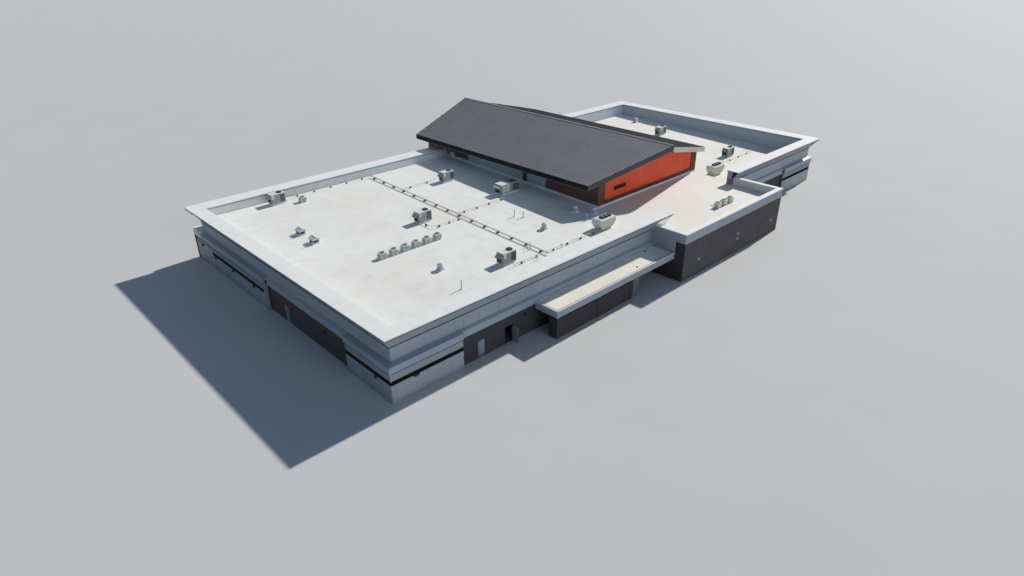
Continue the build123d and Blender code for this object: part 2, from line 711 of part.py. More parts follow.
front_piers = []
front_glass = []
front_rails = []
rail_y = y_front_inner + front_rail_depth
glass_y = y_front_inner + front_rail_depth / 2
for x0, x1 in ((x_left, gable_left), (gable_right, x_right)):
    bays = round((x1 - x0) / front_bay)
    pitch = (x1 - x0 - front_pier_width) / bays
    for i in range(bays + 1):
        pier_x = x0 + i * pitch
        front_piers.append(box(pier_x, pier_x + front_pier_width, rail_y, y_front, 0, z_band_low))
    front_rails.append(box(x0, x1, y_front_inner, rail_y, 0, front_sill_top))
    front_rails.append(box(x0, x1, y_front_inner, rail_y, front_head_low, z_band_low))
    front_glass.append(box(x0, x1, glass_y, glass_y + glass_thick, front_sill_top, front_head_low))
save("front_piers", *front_piers)
save("front_rails", *front_rails)
save("front_glass", *front_glass)


# Steel V brackets carrying the front overhang
def strut(foot, head):
    line = Line(foot, head)
    section = Plane(origin=foot, z_dir=line % 0) * Rectangle(bracket_size, bracket_size)
    return extrude(section, amount=line.length)


brackets = []
foot_y = y_front_field + bracket_foot
head_y = y_front_field + cornice_out_front - bracket_head
for x0, x1 in ((x_left + field_recess, gable_left), (gable_right, x_right - field_recess)):
    count = round((x1 - x0) / bracket_spacing)
    step = (x1 - x0) / count
    for i in range(count):
        middle_x = x0 + (i + 0.5) * step
        reach = 2 * bracket_spread
        foot = (middle_x, foot_y, z_field_low - bracket_size)
        left_bar = strut(foot, (middle_x - bracket_spread, head_y, z_soffit + bracket_size))
        right_bar = strut(foot, (middle_x + bracket_spread, head_y, z_soffit + bracket_size))
        between = box(middle_x - reach, middle_x + reach, y_front_field, y_front, z_field_low, z_soffit)
        brackets.append((left_bar + right_bar) & between)
save("front_brackets", *brackets)


# Space over the underside of the gable roof and its ridge beam, for cutting the walls below
def above_gable_roof():
    high = z_ridge + m
    beam_low = z_ridge - ridge_drop - gable_deck
    beam_x = x_ridge - ridge_beam
    left = [(x_eave_left, z_eave - gable_deck), (beam_x, gable_top(beam_x) - gable_deck), (beam_x, beam_low),
            (x_ridge, beam_low), (x_eave_right, gable_top(x_eave_right) - gable_deck), (x_eave_right, high),
            (x_eave_left, high)]
    return run_y(left, y_ridge_service, y_ridge_front)


above = above_gable_roof()


# Gable hall: side walls with wood ends and grey siding between
def side_wall(x0, x1, y0, y1, low):
    return box(x0, x1, y0, y1, low, z_ridge) - above


wall_low = main_roof(0) - 2 * roof_thick
wing_wall_low = wing_roof(0) - roof_thick
y_wood_end = y_front_inner - joint_gap
save("gable_wood_walls", side_wall(gable_left, x_gable_in_left, gable_service, wood_service_to, wall_low),
     side_wall(gable_left, x_gable_in_left, wood_front_from, y_wood_end, wall_low),
     side_wall(x_gable_in_right, gable_right, gable_service, wood_service_to, wing_wall_low),
     side_wall(x_gable_in_right, gable_right, wood_front_from, y_wood_end, wing_wall_low))
siding_left = side_wall(gable_left, x_gable_in_left, wood_service_to, wood_front_from, wall_low)
siding_right = side_wall(x_gable_in_right, gable_right, wood_service_to, wood_front_from, wing_wall_low)
save("gable_siding_walls", siding_left, siding_right)

# Gable end over the roof: wood frame round a plain painted panel
end_y1 = gable_service + gable_wall
band_top = main_roof(gable_service) + base_band
frame = box(x_gable_in_left, gable_left + gable_pier, gable_service, end_y1, wall_low, z_ridge)
frame += box(gable_right - gable_pier, x_gable_in_right, gable_service, end_y1, wall_low, z_ridge)
frame += box(x_gable_in_left, x_gable_in_right, gable_service, end_y1, wall_low, band_top)
panel = box(gable_left + gable_pier, gable_right - gable_pier, gable_service + panel_recess, end_y1,
            band_top, z_ridge)
save("gable_end_panel", panel - above)

# Gable front: tall piers and a glazed end standing on the floor
tall_left = box(gable_left, gable_left + gable_pier, y_front_inner, gable_front, 0, z_ridge) - above
tall_right = box(gable_right - gable_pier, gable_right, y_front_inner, gable_front, 0, z_ridge) - above
save("gable_wood_piers", frame - above, tall_left, tall_right)
hall_glass = box(gable_left + gable_pier, gable_right - gable_pier, y_gable_glass,
                 y_gable_glass + glass_thick, z_floor, z_ridge)
save("gable_front_glass", hall_glass - above)


# Gable roof: two metal slopes with prow ends and a deep fascia that follows them
def slope_slab(x_eave, high, low):
    x0, x1 = sorted((x_eave, x_ridge))
    drop = 0 if x_eave < x_ridge else ridge_drop
    ends = [(x, z_ridge - drop - roof_pitch * abs(x - x_ridge)) for x in (x0, x1)]
    points = [(x, z - high) for x, z in ends] + [(x, z - low) for x, z in reversed(ends)]
    return run_y(points, y_ridge_service, y_ridge_front)


def slope_plan(x_eave, inset, past_ridge):
    side = 1 if x_eave < x_ridge else -1
    half = abs(x_ridge - x_eave)
    x_start = x_eave + side * inset
    x_end = x_ridge + side * past_ridge
    y_service_end = y_ridge_service + inset - past_ridge * (y_eave_service - y_ridge_service) / half
    y_front_end = y_ridge_front - inset + past_ridge * (y_ridge_front - y_eave_front) / half
    return [(x_start, y_eave_service + inset), (x_end, y_service_end), (x_end, y_front_end),
            (x_start, y_eave_front - inset)]


def gable_slope(x_eave):
    outline = prism(slope_plan(x_eave, 0, 0), z_top, z_ridge + m)
    fascia = slope_slab(x_eave, fascia_depth, gable_deck) & outline
    fascia -= prism(slope_plan(x_eave, fascia_width, fascia_width), 0, z_ridge + m)
    return (slope_slab(x_eave, gable_deck, 0) & outline) + fascia


# Ridge beam closing the step between the slopes, and the ridge cap over it
beam_low = z_ridge - ridge_drop - gable_deck
beam_x = x_ridge - ridge_beam
beam = run_y([(beam_x, beam_low), (x_ridge, beam_low), (x_ridge, z_ridge - gable_deck),
              (beam_x, gable_top(beam_x) - gable_deck)], y_ridge_service, y_ridge_front)
cap_x = x_ridge - cap_width
cap_edge = x_ridge + cap_over
cap = run_y([(cap_x, gable_top(cap_x)), (cap_x, gable_top(cap_x) + cap_high), (x_ridge, z_ridge + cap_high),
             (cap_edge, z_ridge + cap_high - cap_over), (cap_edge, z_ridge - ridge_drop / 2),
             (x_ridge, z_ridge - ridge_drop / 2), (x_ridge, z_ridge)], y_ridge_service, y_ridge_front)
prow_outline = [(x_eave_left, y_eave_service), (x_ridge, y_ridge_service), (x_eave_right, y_eave_service),
                (x_eave_right, y_eave_front), (x_ridge, y_ridge_front), (x_eave_left, y_eave_front)]
ridge_parts = (beam + cap) & prism(prow_outline, beam_low, z_ridge + m)
save("gable_roof_left", gable_slope(x_eave_left) + ridge_parts)
save("gable_roof_right", gable_slope(x_eave_right))


# Rooftop plant, each item trimmed to the roof it stands on
def rooftop_unit(place, level, size):
    x, y = place
    long, deep, high = size
    z = level(y)
    low = z + curb_height
    top = low + high
    body = box(x + curb_inset, x + long - curb_inset, y + curb_inset, y + deep - curb_inset,
               z - roof_thick / 2, low)
    body += box(x, x + long, y, y + deep, low, top)
    hood = [(x - unit_hood_out, low + 0.55 * high), (x, low + 0.50 * high), (x, low + 0.92 * high),
            (x - unit_hood_out, low + 0.62 * high)]
    body += run_y(hood, y + 0.3 * deep, y + 0.9 * deep)
    fan = Cylinder(unit_fan_radius, unit_fan_high)
    return body + Pos(x + 0.72 * long, y + deep / 2, top + unit_fan_high / 2) * fan


units = [rooftop_unit(place, main_roof, unit_size) - below_main for place in unit_places]
units.append(rooftop_unit(large_unit_place, main_roof, large_unit_size) - below_main)
units += [rooftop_unit(place, wing_roof, unit_size) - below_wing for place in wing_unit_places]
save("rooftop_units", *units)


def condenser(x, y):
    long, deep, high = condenser_size
    z = main_roof(y)
    low = z + condenser_rail
    body = box(x, x + long, y, y + deep, low, low + high)
    for rail_x in (x + condenser_rail / 2, x + long - 1.5 * condenser_rail):
        body += box(rail_x, rail_x + condenser_rail, y, y + deep, z - roof_thick / 2, low)
    fan = Cylinder(condenser_fan_radius, condenser_fan_high)
    body += Pos(x + long / 2, y + deep / 2, low + high + condenser_fan_high / 2) * fan
    return body - below_main


condensers = [condenser(condenser_row[0] + i * condenser_pitch, condenser_row[1])
              for i in range(condenser_count)]
condensers += [condenser(block_condenser_row[0] + i * condenser_pitch, block_condenser_row[1])
               for i in range(block_condenser_count)]
condensers.append(condenser(*single_condenser))
save("condensers", *condensers)


def kitchen_unit(place, level):
    x, y = place
    long, deep, high = kitchen_size
    z = level(y)
    low = z + curb_height
    waist = low + 0.55 * high
    sides = [(x + kitchen_taper, low), (x + long - kitchen_taper, low), (x + long, waist),
             (x + long, low + high), (x, low + high), (x, waist)]
    body = run_y(sides, y, y + deep)
    foot = kitchen_taper + curb_inset
    body += box(x + foot, x + long - foot, y + curb_inset, y + deep - curb_inset, z - roof_thick / 2, low)
    for i in range(3):
        fan_x = x + kitchen_fan_first + i * kitchen_fan_pitch
        fan_z = low + high + kitchen_fan_high / 2
        body += Pos(fan_x, y + deep / 2, fan_z) * Cylinder(kitchen_fan_radius, kitchen_fan_high)
    return body


save("kitchen_units", kitchen_unit(kitchen_place, main_roof) - below_main,
     kitchen_unit(wing_kitchen_place, wing_roof) - below_wing)


def hood_fan(x, y):
    long, deep, high = hood_size
    z = main_roof(y)
    eave = z + high + hood_eave
    body = box(x, x + long, y, y + deep, z - roof_thick / 2, z + high)
    hood = [(x - hood_over, z + high), (x + long + hood_over, z + high), (x + long + hood_over, eave),
            (x + long / 2, z + high + hood_ridge), (x - hood_over, eave)]
    return body + run_y(hood, y - hood_over, y + deep + hood_over)


def round_fan(x, y, level):
    width, high = round_fan_curb
    z = level(y)
    neck_low, neck_high, neck = round_fan_neck
    cap_low, cap_top, cap_rise = round_fan_cap
    body = box(x - width / 2, x + width / 2, y - width / 2, y + width / 2, z - roof_thick / 2, z + high)
    body += Pos(x, y, z + high + neck / 2) * Cone(neck_low, neck_high, neck)
    return body + Pos(x, y, z + high + neck + cap_rise / 2) * Cone(cap_low, cap_top, cap_rise)


fans = [hood_fan(x, y) - below_main for x, y in hood_places]
fans += [round_fan(x, y, main_roof) - below_main for x, y in round_fan_places]
fans.append(round_fan(*wing_fan_place, wing_roof) - below_wing)
save("exhaust_fans", *fans)


# Vent pipes, and gas and electrical pipes that follow the roof
def vent_pipe(x, y, high, level):
    buried = roof_thick / 2
    plane = Plane.XY.offset(level(y) - buried)
    return extrude(Pos(x, y, 0) * plane * RegularPolygon(vent_radius, pipe_sides), amount=high + buried)


def pipe_along_y(x):
    start = (x, pipe_y_low, main_roof(pipe_y_low) + pipe_height)
    line = Line(start, (x, pipe_y_high, main_roof(pipe_y_high) + pipe_height))
    section = Plane(origin=start, z_dir=line % 0) * RegularPolygon(pipe_radius, pipe_sides)
    return extrude(section, amount=line.length)


def pipe_along_x(x0, x1, y, level):
    plane = Plane(origin=(x0, y, level(y) + pipe_height), x_dir=(0, 1, 0), z_dir=(1, 0, 0))
    return extrude(plane * RegularPolygon(pipe_radius, pipe_sides), amount=x1 - x0)


branch_left = pipe_x - pipe_radius - branch_gap
branch_right = pipe_x + pipe_pair + pipe_radius + branch_gap
branches = [(x, branch_left, y) for x, y in left_branches]
branches += [(branch_right, x, y) for x, y in right_branches]
pipes = [pipe_along_y(pipe_x), pipe_along_y(pipe_x + pipe_pair)]
pipes += [pipe_along_x(x0, x1, y, main_roof) for x0, x1, y in branches]
pipes.append(pipe_along_x(wing_pipe_from, wing_pipe_to, wing_pipe_y, wing_roof))
pipes += [vent_pipe(x, y, high, main_roof) - below_main for x, y, high in vents_at]
pipes.append(vent_pipe(*wing_vent_at, wing_roof) - below_wing)
save("roof_pipes", *pipes)


# Rubber blocks under the pipes
def support(x, y, level, width):
    low = level(y) - roof_thick / 2
    high = level(y) + pipe_height - pipe_radius - roof_rise * support_size
    return box(x - width / 2, x + width / 2, y - support_size / 2, y + support_size / 2, low, high)


def spread(low, high):
    count = max(2, round((high - low) / support_spacing))
    return [low + (i + 0.5) * (high - low) / count for i in range(count)]


supports = [support(pipe_x + pipe_pair / 2, y, main_roof, pair_support_width) - below_main
            for y in spread(pipe_y_low, pipe_y_high)]
for x0, x1, y in branches:
    supports += [support(x, y, main_roof, support_size) - below_main for x in spread(x0, x1)]
supports += [support(x, wing_pipe_y, wing_roof, support_size) - below_wing
             for x in spread(wing_pipe_from, wing_pipe_to)]
save("pipe_supports", *supports)
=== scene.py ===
import math

import bpy
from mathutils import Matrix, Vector


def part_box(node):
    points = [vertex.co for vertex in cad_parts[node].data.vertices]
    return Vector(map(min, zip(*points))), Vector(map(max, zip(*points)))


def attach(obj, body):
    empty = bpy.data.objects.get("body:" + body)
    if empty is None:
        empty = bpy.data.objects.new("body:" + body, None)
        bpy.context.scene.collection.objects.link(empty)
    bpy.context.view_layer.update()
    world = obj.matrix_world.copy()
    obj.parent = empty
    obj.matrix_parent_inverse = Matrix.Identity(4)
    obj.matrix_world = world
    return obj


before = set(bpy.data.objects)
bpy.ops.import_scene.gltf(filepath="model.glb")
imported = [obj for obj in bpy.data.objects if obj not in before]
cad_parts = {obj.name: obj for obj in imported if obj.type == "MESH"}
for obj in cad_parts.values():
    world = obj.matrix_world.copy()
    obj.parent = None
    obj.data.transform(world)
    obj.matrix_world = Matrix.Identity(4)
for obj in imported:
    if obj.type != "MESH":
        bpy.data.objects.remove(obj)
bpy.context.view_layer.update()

# Scale of the model, and the near ground corner from which the building is measured

scale = 0.1
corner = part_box("main_siding")[0]


def model(x, y, z):
    return (corner.x + scale * x, corner.y + scale * y, scale * z)


def real(x, y, z):
    return [(x - corner.x) / scale, (y - corner.y) / scale, z / scale]


def span(node):
    """Lowest and highest corner of a node, in metres of the real building."""
    return [real(*v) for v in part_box(node)]


def solids(node):
    """The same two corners for each separate solid of a node, from left to right."""
    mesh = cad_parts[node].data
    owner = {}
    keys = [tuple(round(c, 5) for c in v.co) for v in mesh.vertices]

    def find(k):
        while owner.setdefault(k, k) != k:
            owner[k] = owner[owner[k]]
            k = owner[k]
        return k

    for polygon in mesh.polygons:
        first = find(keys[polygon.vertices[0]])
        for i in polygon.vertices[1:]:
            owner[find(keys[i])] = first
    groups = {}
    for k in set(keys):
        groups.setdefault(find(k), []).append(k)
    return sorted([real(*map(pick, zip(*group))) for pick in (min, max)] for group in groups.values())


# Levels and planes of the building, in metres of the real one

strip_low, strip_high = 2.35, 2.8
band_low, band_high = 3.8, 4.67
field_low = 4.9
cornice_low = 6.58
lip_low = 8.23
top = 8.35
band_out, band_in = 0.15, 0.19
masonry_in = 0.4
field_in = 0.55
parapet_in = 1.4
coping_in = 1.5
coping_out, coping_out_right = 0.6, 1.2
y_wing = span("wing_siding")[0][1]
x_right = span("wing_siding")[1][0]
y_ledge, y_field_front = (v[1] for v in span("upper_walls_front"))
(x_block, y_block, _), (x_block_right, _, _) = span("block_masonry")
block_masonry_top = 5.82
block_top = 7.23
block_in = 0.75
door_head = 2.35
left_siding_end, left_siding_start = 8.85, 28.35
service_siding_end = 9.75
wing_siding_start = 91.3
right_siding_end, right_siding_start = 12.0, 40.0
siding_far = 51.3
x_cornice_end = 48.9
x_wing_end = 72.4
(gable_left, gable_end, _), (gable_right, _, _) = span("gable_wood_walls")
wood_end, wood_start, wood_far = 23.1, 42.7, 51.25
porch_outer, porch_inner = 52.05, 52.7
gable_front = 54.7
gable_post = 1.45
post_left, post_right = gable_left + gable_post, gable_right - gable_post
gable_base = 0.85
x_ridge, z_ridge = 60.65, 14.26
ridge_drop = 0.35
roof_half = 16.15
roof_fall = (14.26 - 10.39) / roof_half
gable_deck = 0.3
prow_service, prow_front = 3.86, 4.4
y_ridge_service, y_ridge_front = 8.04, 59.3
(canopy_left, canopy_near, canopy_low), _ = span("service_canopy")
canopy_deck = 4.02
(yard_left, yard_near, _), (yard_right, yard_far, _) = span("yard_wall")
roof_rise = 0.0208
rib_pitch, rib_half = 0.2, 0.05
sunk = 0.004  # how far a piece reaches into what it sits on

# Coordinates laid on the building's surfaces


class Wall:
    """On a wall: along it, out from its plane, and up."""

    def __init__(self, axis, plane, sign):
        self.axis, self.plane, self.sign = axis, plane, sign
        self.mirrored = (sign < 0) == (axis == "y")

    def __call__(self, along, out, up):
        if self.axis == "y":
            return (along, self.plane + self.sign * out, up)
        return (self.plane + self.sign * out, along, up)

    def inward(self, depth):
        return Wall(self.axis, self.plane - self.sign * depth, self.sign)


class Flare(Wall):
    """On the flared cornice of a wall: along it, out from its leaning face, and up."""

    def __init__(self, wall, out):
        super().__init__(wall.axis, wall.plane, wall.sign)
        self.lean = (out + field_in) / (lip_low - cornice_low)

    def __call__(self, along, out, up):
        return super().__call__(along, out - field_in + self.lean * (up - cornice_low), up)


class Deck:
    """On a flat roof that falls towards the service side: across, along, and up from the membrane."""

    mirrored = False

    def __init__(self, level):
        self.level = level

    def top(self, y):
        return self.level + roof_rise * y

    def __call__(self, x, y, up):
        return (x, y, self.top(y) + up)


class Slope:
    """On a slope of the gable roof: out from the ridge, along it, and up from the metal."""

    def __init__(self, ridge_z, sign):
        self.ridge_z, self.sign = ridge_z, sign
        self.mirrored = sign < 0

    def __call__(self, out, y, up):
        return (x_ridge + self.sign * out, y, self.ridge_z - roof_fall * out + up)


class Leaf:
    """On a door leaf: from its pin towards its free edge, out from its outer face, and up."""

    def __init__(self, pin_x, pin_y, degrees, side):
        self.pin = (pin_x, pin_y)
        self.turn = math.radians(degrees)
        self.side = side
        self.mirrored = side > 0

    def __call__(self, along, out, up):
        x, y = self.side * along, 0.05 - out
        c, s = math.cos(self.turn), math.sin(self.turn)
        return (self.pin[0] + c * x - s * y, self.pin[1] + s * x + c * y, up)


def steps(low, high, pitch):
    """Even steps of about one pitch between two ends."""
    count = max(1, round((high - low) / pitch))
    return [low + i * (high - low) / count for i in range(count + 1)]


def bays(low, high, pitch):
    """The two edges of each step."""
    edges = steps(low, high, pitch)
    return zip(edges, edges[1:])


def around(count):
    """Cosine and sine of even turns."""
    turns = [2 * math.pi * k / count for k in range(count)]
    return [(math.cos(t), math.sin(t)) for t in turns]


def sides(x0, y0, x1, y1):
    """The four walls round a box with their two ends: front, back, left and right."""
    return [(Wall("y", y0, -1), x0, x1), (Wall("y", y1, 1), x0, x1),
        (Wall("x", x0, -1), y0, y1), (Wall("x", x1, 1), y0, y1)]


# Mesh making

BOX_FACES = [(0, 3, 2, 1), (4, 5, 6, 7), (0, 1, 5, 4), (1, 2, 6, 5), (2, 3, 7, 6), (3, 0, 4, 7)]
TILE_FACES = [(0, 1, 2, 3), (4, 7, 6, 5), (0, 4, 5, 1), (1, 5, 6, 2), (2, 6, 7, 3), (3, 7, 4, 0)]
block_long = 0.4
block_high = 0.2
half_joint = 0.005
block_proud = 0.008
block_chamfer = 0.005
crumb = 0.03  # shorter blocks are left out


def free_runs(low, high, holes):
    """The parts of a run that lie outside the holes."""
    runs = [(low, high)]
    for hole_low, hole_high in holes:
        cut = [(a, min(b, hole_low)) for a, b in runs] + [(max(a, hole_high), b) for a, b in runs]
        runs = [(a, b) for a, b in cut if b - a > crumb]
    return runs


class Build:
    """Points and faces of one joined piece, in metres of the real building."""

    made = []

    def __init__(self, name, surface, slot, body="building"):
        self.look = name, surface, slot, body
        self.points = []
        self.faces = []
        self.made.append(self)

    def add(self, points, faces, to=None):
        base = len(self.points)
        turn = -1 if to and to.mirrored else 1
        self.points.extend([to(*p) for p in points] if to else points)
        self.faces.extend([base + i for i in face[::turn]] for face in faces)

    def box(self, x0, x1, y0, y1, z0, z1, to=None):
        ring = ((x0, y0), (x1, y0), (x1, y1), (x0, y1))
        self.add([(x, y, z) for z in (z0, z1) for x, y in ring], BOX_FACES, to)

    def tile(self, a0, a1, z0, z1, out, slant, to, slant_up=None):
        """A raised face on a wall, a block, board or rib, its sides slanting in towards the front."""
        c, d = slant, slant if slant_up is None else slant_up
        rings = ((-sunk, a0, a1, z0, z1), (out, a0 + c, a1 - c, z0 + d, z1 - d))
        points = [(a, y, z) for y, l, r, b, t in rings for a, z in ((l, b), (r, b), (r, t), (l, t))]
        self.add(points, TILE_FACES, to)

    def ribs(self, to, low, high, pitch, half, base, head, out, slant, slant_up=0.0):
        """Upright ribs at even steps, from a level or from a function of the step."""
        for a in steps(low, high, pitch):
            z0 = base(a) if callable(base) else base
            self.tile(a - half, a + half, z0, head, out, slant, to, slant_up)

    def boards(self, to, low, high, pitch, gap, base, head, out, slant):
        """Boards side by side, between levels or functions of a board's two edges."""
        for edges in bays(low, high, pitch):
            z0, z1 = (z(*edges) if callable(z) else z for z in (base, head))
            self.tile(edges[0] + gap, edges[1] - gap, z0, z1, out, slant, to)

    def blocks(self, to, low, high, base, head, holes=()):
        """Masonry in running bond, with the door holes left free."""
        for row, (z0, z1) in enumerate(bays(base, head, block_high)):
            a = low - (block_long / 2 if row % 2 else 0)
            while a < high - crumb:
                free = holes if z0 < door_head - 0.1 else ()
                for a0, a1 in free_runs(max(a, low), min(a + block_long, high), free):
                    self.tile(a0 + half_joint, a1 - half_joint, z0 + half_joint, z1 - half_joint,
                        block_proud, block_chamfer, to)
                a += block_long

    def loft(self, near, far, to):
        """Two outlines of as many points each, joined and closed."""
        n = len(near)
        faces = [tuple(range(n)), tuple(range(2 * n - 1, n - 1, -1))]
        faces += [(i, n + i, n + (i + 1) % n, (i + 1) % n) for i in range(n)]
        self.add(near + far, faces, to)

    def prism(self, outline, y0, y1, to):
        """A closed outline of (x, z) points carried from y0 to y1."""
        self.loft(*([(x, y, z) for x, z in outline] for y in (y0, y1)), to)

    def skin(self, rings):
        """Rings of as many points each, joined and closed at both ends."""
        n = len(rings[0])
        last = (len(rings) - 1) * n
        faces = [tuple(range(n - 1, -1, -1))]
        for base in range(0, last, n):
            pairs = [(base + k, base + (k + 1) % n) for k in range(n)]
            faces += [(a, b, b + n, a + n) for a, b in pairs]
        faces.append(tuple(range(last, last + n)))
        self.add([p for ring in rings for p in ring], faces)

    def tube(self, path, radius, count, to=None):
        """A round tube along a path, closed at both ends."""
        path = [Vector(to(*p)) if to else Vector(p) for p in path]
        rings = []
        for i, p in enumerate(path):
            ahead = path[min(i + 1, len(path) - 1)] - path[max(i - 1, 0)]
            ahead.normalize()
            side = ahead.cross(Vector((0, 0, 1)))
            if side.length < 0.01:
                side = ahead.cross(Vector((1, 0, 0)))
            side.normalize()
            up = ahead.cross(side)
            rings.append([tuple(p + radius * (c * side + s * up)) for c, s in around(count)])
        self.skin(rings)

    def lathe(self, profile, x, y, z, count):
        """A profile of (radius, height) points turned about an upright axis."""
        self.skin([[(x + r * c, y + r * s, z + up) for c, s in around(count)] for r, up in profile])

    def show(self):
        name, surface, slot, body = self.look
        mesh = bpy.data.meshes.new(name)
        mesh.from_pydata([model(*p) for p in self.points], [], self.faces)
        mesh.update()
        mesh.materials.append(surface)
        shown = bpy.data.objects.new(name, mesh)
        bpy.context.scene.collection.objects.link(shown)
        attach(shown, body)


# Surfaces


def linear(colour):
    """A screen colour, written 0xRRGGBB, as the shader takes it."""
    parts = [(colour >> shift & 255) / 255 for shift in (16, 8, 0)]
    return [v / 12.92 if v <= 0.04045 else ((v + 0.055) / 1.055) ** 2.4 for v in parts] + [1.0]


class Surface:
    """A node material that starts with one colour and takes layers of variation and relief."""

    def __init__(self, name, colour, roughness, metallic=0.0, specular=0.5):
        self.material = bpy.data.materials.new(name)
        self.material.use_nodes = True
        self.nodes = self.material.node_tree.nodes
        self.inputs = self.nodes["Principled BSDF"].inputs
        self.inputs["Roughness"].default_value = roughness
        self.inputs["Metallic"].default_value = metallic
        self.inputs["Specular IOR Level"].default_value = specular
        self.colour = linear(colour)
        self.height = None
        self.place = self.nodes.new("ShaderNodeTexCoord").outputs["Object"]

    def put(self, socket, value):
        if hasattr(value, "is_linked"):
            self.material.node_tree.links.new(value, socket)
        else:
            socket.default_value = value

    def node(self, kind, output, inputs):
        """An output of a new node with those inputs."""
        made = self.nodes.new("ShaderNode" + kind)
        for name, value in inputs.items():
            self.put(made.inputs[name], value)
        return made.outputs[output]

    def ramp(self, value, low, high):
        return self.node("MapRange", "Result", {"Value": value, "From Min": low, "From Max": high})

    def noise(self, size, detail, low=0.0, high=1.0, stretch=(1, 1, 1)):
        """Noise with blotches of that many real metres, its range from low to high drawn out to 0 and 1."""
        place = self.node("Mapping", "Vector", {"Vector": self.place, "Scale": stretch})
        fine = {"Vector": place, "Scale": 1 / (size * scale), "Detail": detail}
        return self.ramp(self.node("TexNoise", "Fac", fine), low, high)

    def math(self, kind, a, b):
        node = self.nodes.new("ShaderNodeMath")
        node.operation = kind
        self.put(node.inputs[0], a)
        self.put(node.inputs[1], b)
        return node.outputs[0]

    def layer(self, mask, colour, amount):
        """Another colour where the mask is high."""
        mix = self.nodes.new("ShaderNodeMix")
        mix.data_type = "RGBA"
        self.put(mix.inputs["Factor"], self.math("MULTIPLY", mask, amount))
        self.put(mix.inputs[6], self.colour)
        self.put(mix.inputs[7], linear(colour))
        self.colour = mix.outputs[2]
        return self

    def stain(self, colour, amount, *blotches):
        return self.layer(self.noise(*blotches), colour, amount)

    def streak(self, colour, amount, size=0.5):
        """Runs of rain dirt down a wall."""
        return self.stain(colour, amount, size, 4, 0.45, 0.75, (1, 1, 0.08))

    def island(self, colour, amount):
        """More or less of a colour from one separate block or board to the next."""
        return self.layer(self.node("NewGeometry", "Random Per Island", {}), colour, amount)

    def along(self, axis, low, high, colour, amount, blotches=None):
        """Another colour from one coordinate of the real building towards the other."""
        shift = {"X": corner.x, "Y": corner.y, "Z": 0.0}[axis]
        place = self.math("SUBTRACT", self.node("SeparateXYZ", axis, {"Vector": self.place}), shift)
        mask = self.ramp(self.math("DIVIDE", place, scale), low, high)
        if blotches:
            mask = self.math("MULTIPLY", mask, self.noise(*blotches))
        return self.layer(mask, colour, amount)

    def relief(self, amount, *blotches):
        """Height in millimetres of the real building, added to what is there."""
        raised = self.math("MULTIPLY", self.noise(*blotches), amount / 1000 * scale)
        self.height = raised if self.height is None else self.math("ADD", self.height, raised)
        return self

    def gloss(self, low, high, *blotches):
        ends = {"Value": self.noise(*blotches), "To Min": low, "To Max": high}
        self.put(self.inputs["Roughness"], self.node("MapRange", "Result", ends))
        return self

    def done(self):
        self.put(self.inputs["Base Color"], self.colour)
        if self.height:
            bump = {"Distance": 1.0, "Height": self.height}
            self.put(self.inputs["Normal"], self.node("Bump", "Normal", bump))
        return self.material


def painted(name, colour, light, dark, roughness=0.42, metallic=0.0, specular=0.5):
    s = Surface(name, colour, roughness, metallic, specular).stain(light, 0.55, 1.1, 4, 0.38, 0.7)
    s.streak(dark, 0.35, 0.18).stain(dark, 0.3, 0.06, 4, 0.6, 0.75)
    s.gloss(roughness - 0.1, roughness + 0.14, 0.4, 3)
    return s.relief(0.8, 0.5, 2).relief(0.12, 0.012, 2).done()


def siding(name, colour, light, dark):
    s = Surface(name, colour, 0.5).stain(light, 0.6, 3.0, 3, 0.35, 0.7).streak(dark, 0.35)
    s.along("Z", 0.8, 0.0, 0x605C54, 0.5, (0.6, 5, 0.3, 0.8))
    return s.gloss(0.42, 0.6, 0.8, 3).relief(1.2, 0.9, 2).relief(0.25, 0.02, 2).done()


def cornice_metal(name, colour, light, dark):
    """Grey metal below the lip, with a white lip and coping."""
    s = Surface(name, colour, 0.42).stain(light, 0.5, 1.1, 4, 0.38, 0.7).streak(dark, 0.3, 0.18)
    s.along("Z", lip_low - 0.02, lip_low - 0.01, 0xE8EAEA, 1.0)
    s.along("Z", top - 0.02, top - 0.01, 0xDEDFDC, 0.5, (1.5, 4, 0.45, 0.7))
    return s.gloss(0.34, 0.55, 0.4, 3).relief(0.8, 0.5, 2).relief(0.12, 0.012, 2).done()


def masonry(name, colour, light, dark):
    s = Surface(name, colour, 0.85, specular=0.3).island(light, 0.5).stain(dark, 0.5, 2.5, 4, 0.4, 0.75)
    s.stain(0x64605F, 0.25, 0.03, 3, 0.5, 0.8).along("Z", 0.5, 0.0, 0x605C58, 0.3)
    return s.relief(3.0, 0.025, 5).relief(1.5, 0.15, 3).done()


LIGHT_SIDING = siding("light_siding", 0x94A2AC, 0x9EABB4, 0x7F8C96)
LOW_SIDING = siding("lower_siding", 0x9AA3A9, 0xA4ACB1, 0x828B92)
GREY_SIDING = siding("grey_siding", 0xA8B7C2, 0xB2C0CA, 0x8E9CA6)
CORNICE = cornice_metal("cornice_metal", 0x97A0A7, 0xA0A9AF, 0x7E868D)
# A darker, bluer copy of the cornice metal for the end walls: painted shade, matched to the shaded left
# side.
CORNICE_SHADED = cornice_metal("cornice_metal_painted_shade", 0x8C96A0, 0x969FA8, 0x707982)
# The same dark blocks in three tones: the main walls, the piers and the block's left face take a darker copy
# than the block's front and right, and the yard wall a darker one still. The darker tones are painted shade
# under the band and the canopy and on the shaded side.
MASONRY = masonry("dark_masonry_painted_shade", 0x403E41, 0x504C4E, 0x343235)
BLOCK_MASONRY = masonry("service_block_masonry", 0x525053, 0x625E60, 0x454346)
YARD_MASONRY_SHADED = masonry("yard_wall_masonry_painted_shade", 0x383639, 0x464345, 0x2E2C2F)

s = Surface("mortar", 0x363436, 0.95, specular=0.2).stain(0x28272A, 0.6, 0.5, 4, 0.35, 0.7)
MORTAR = s.relief(1.5, 0.01, 3).done()

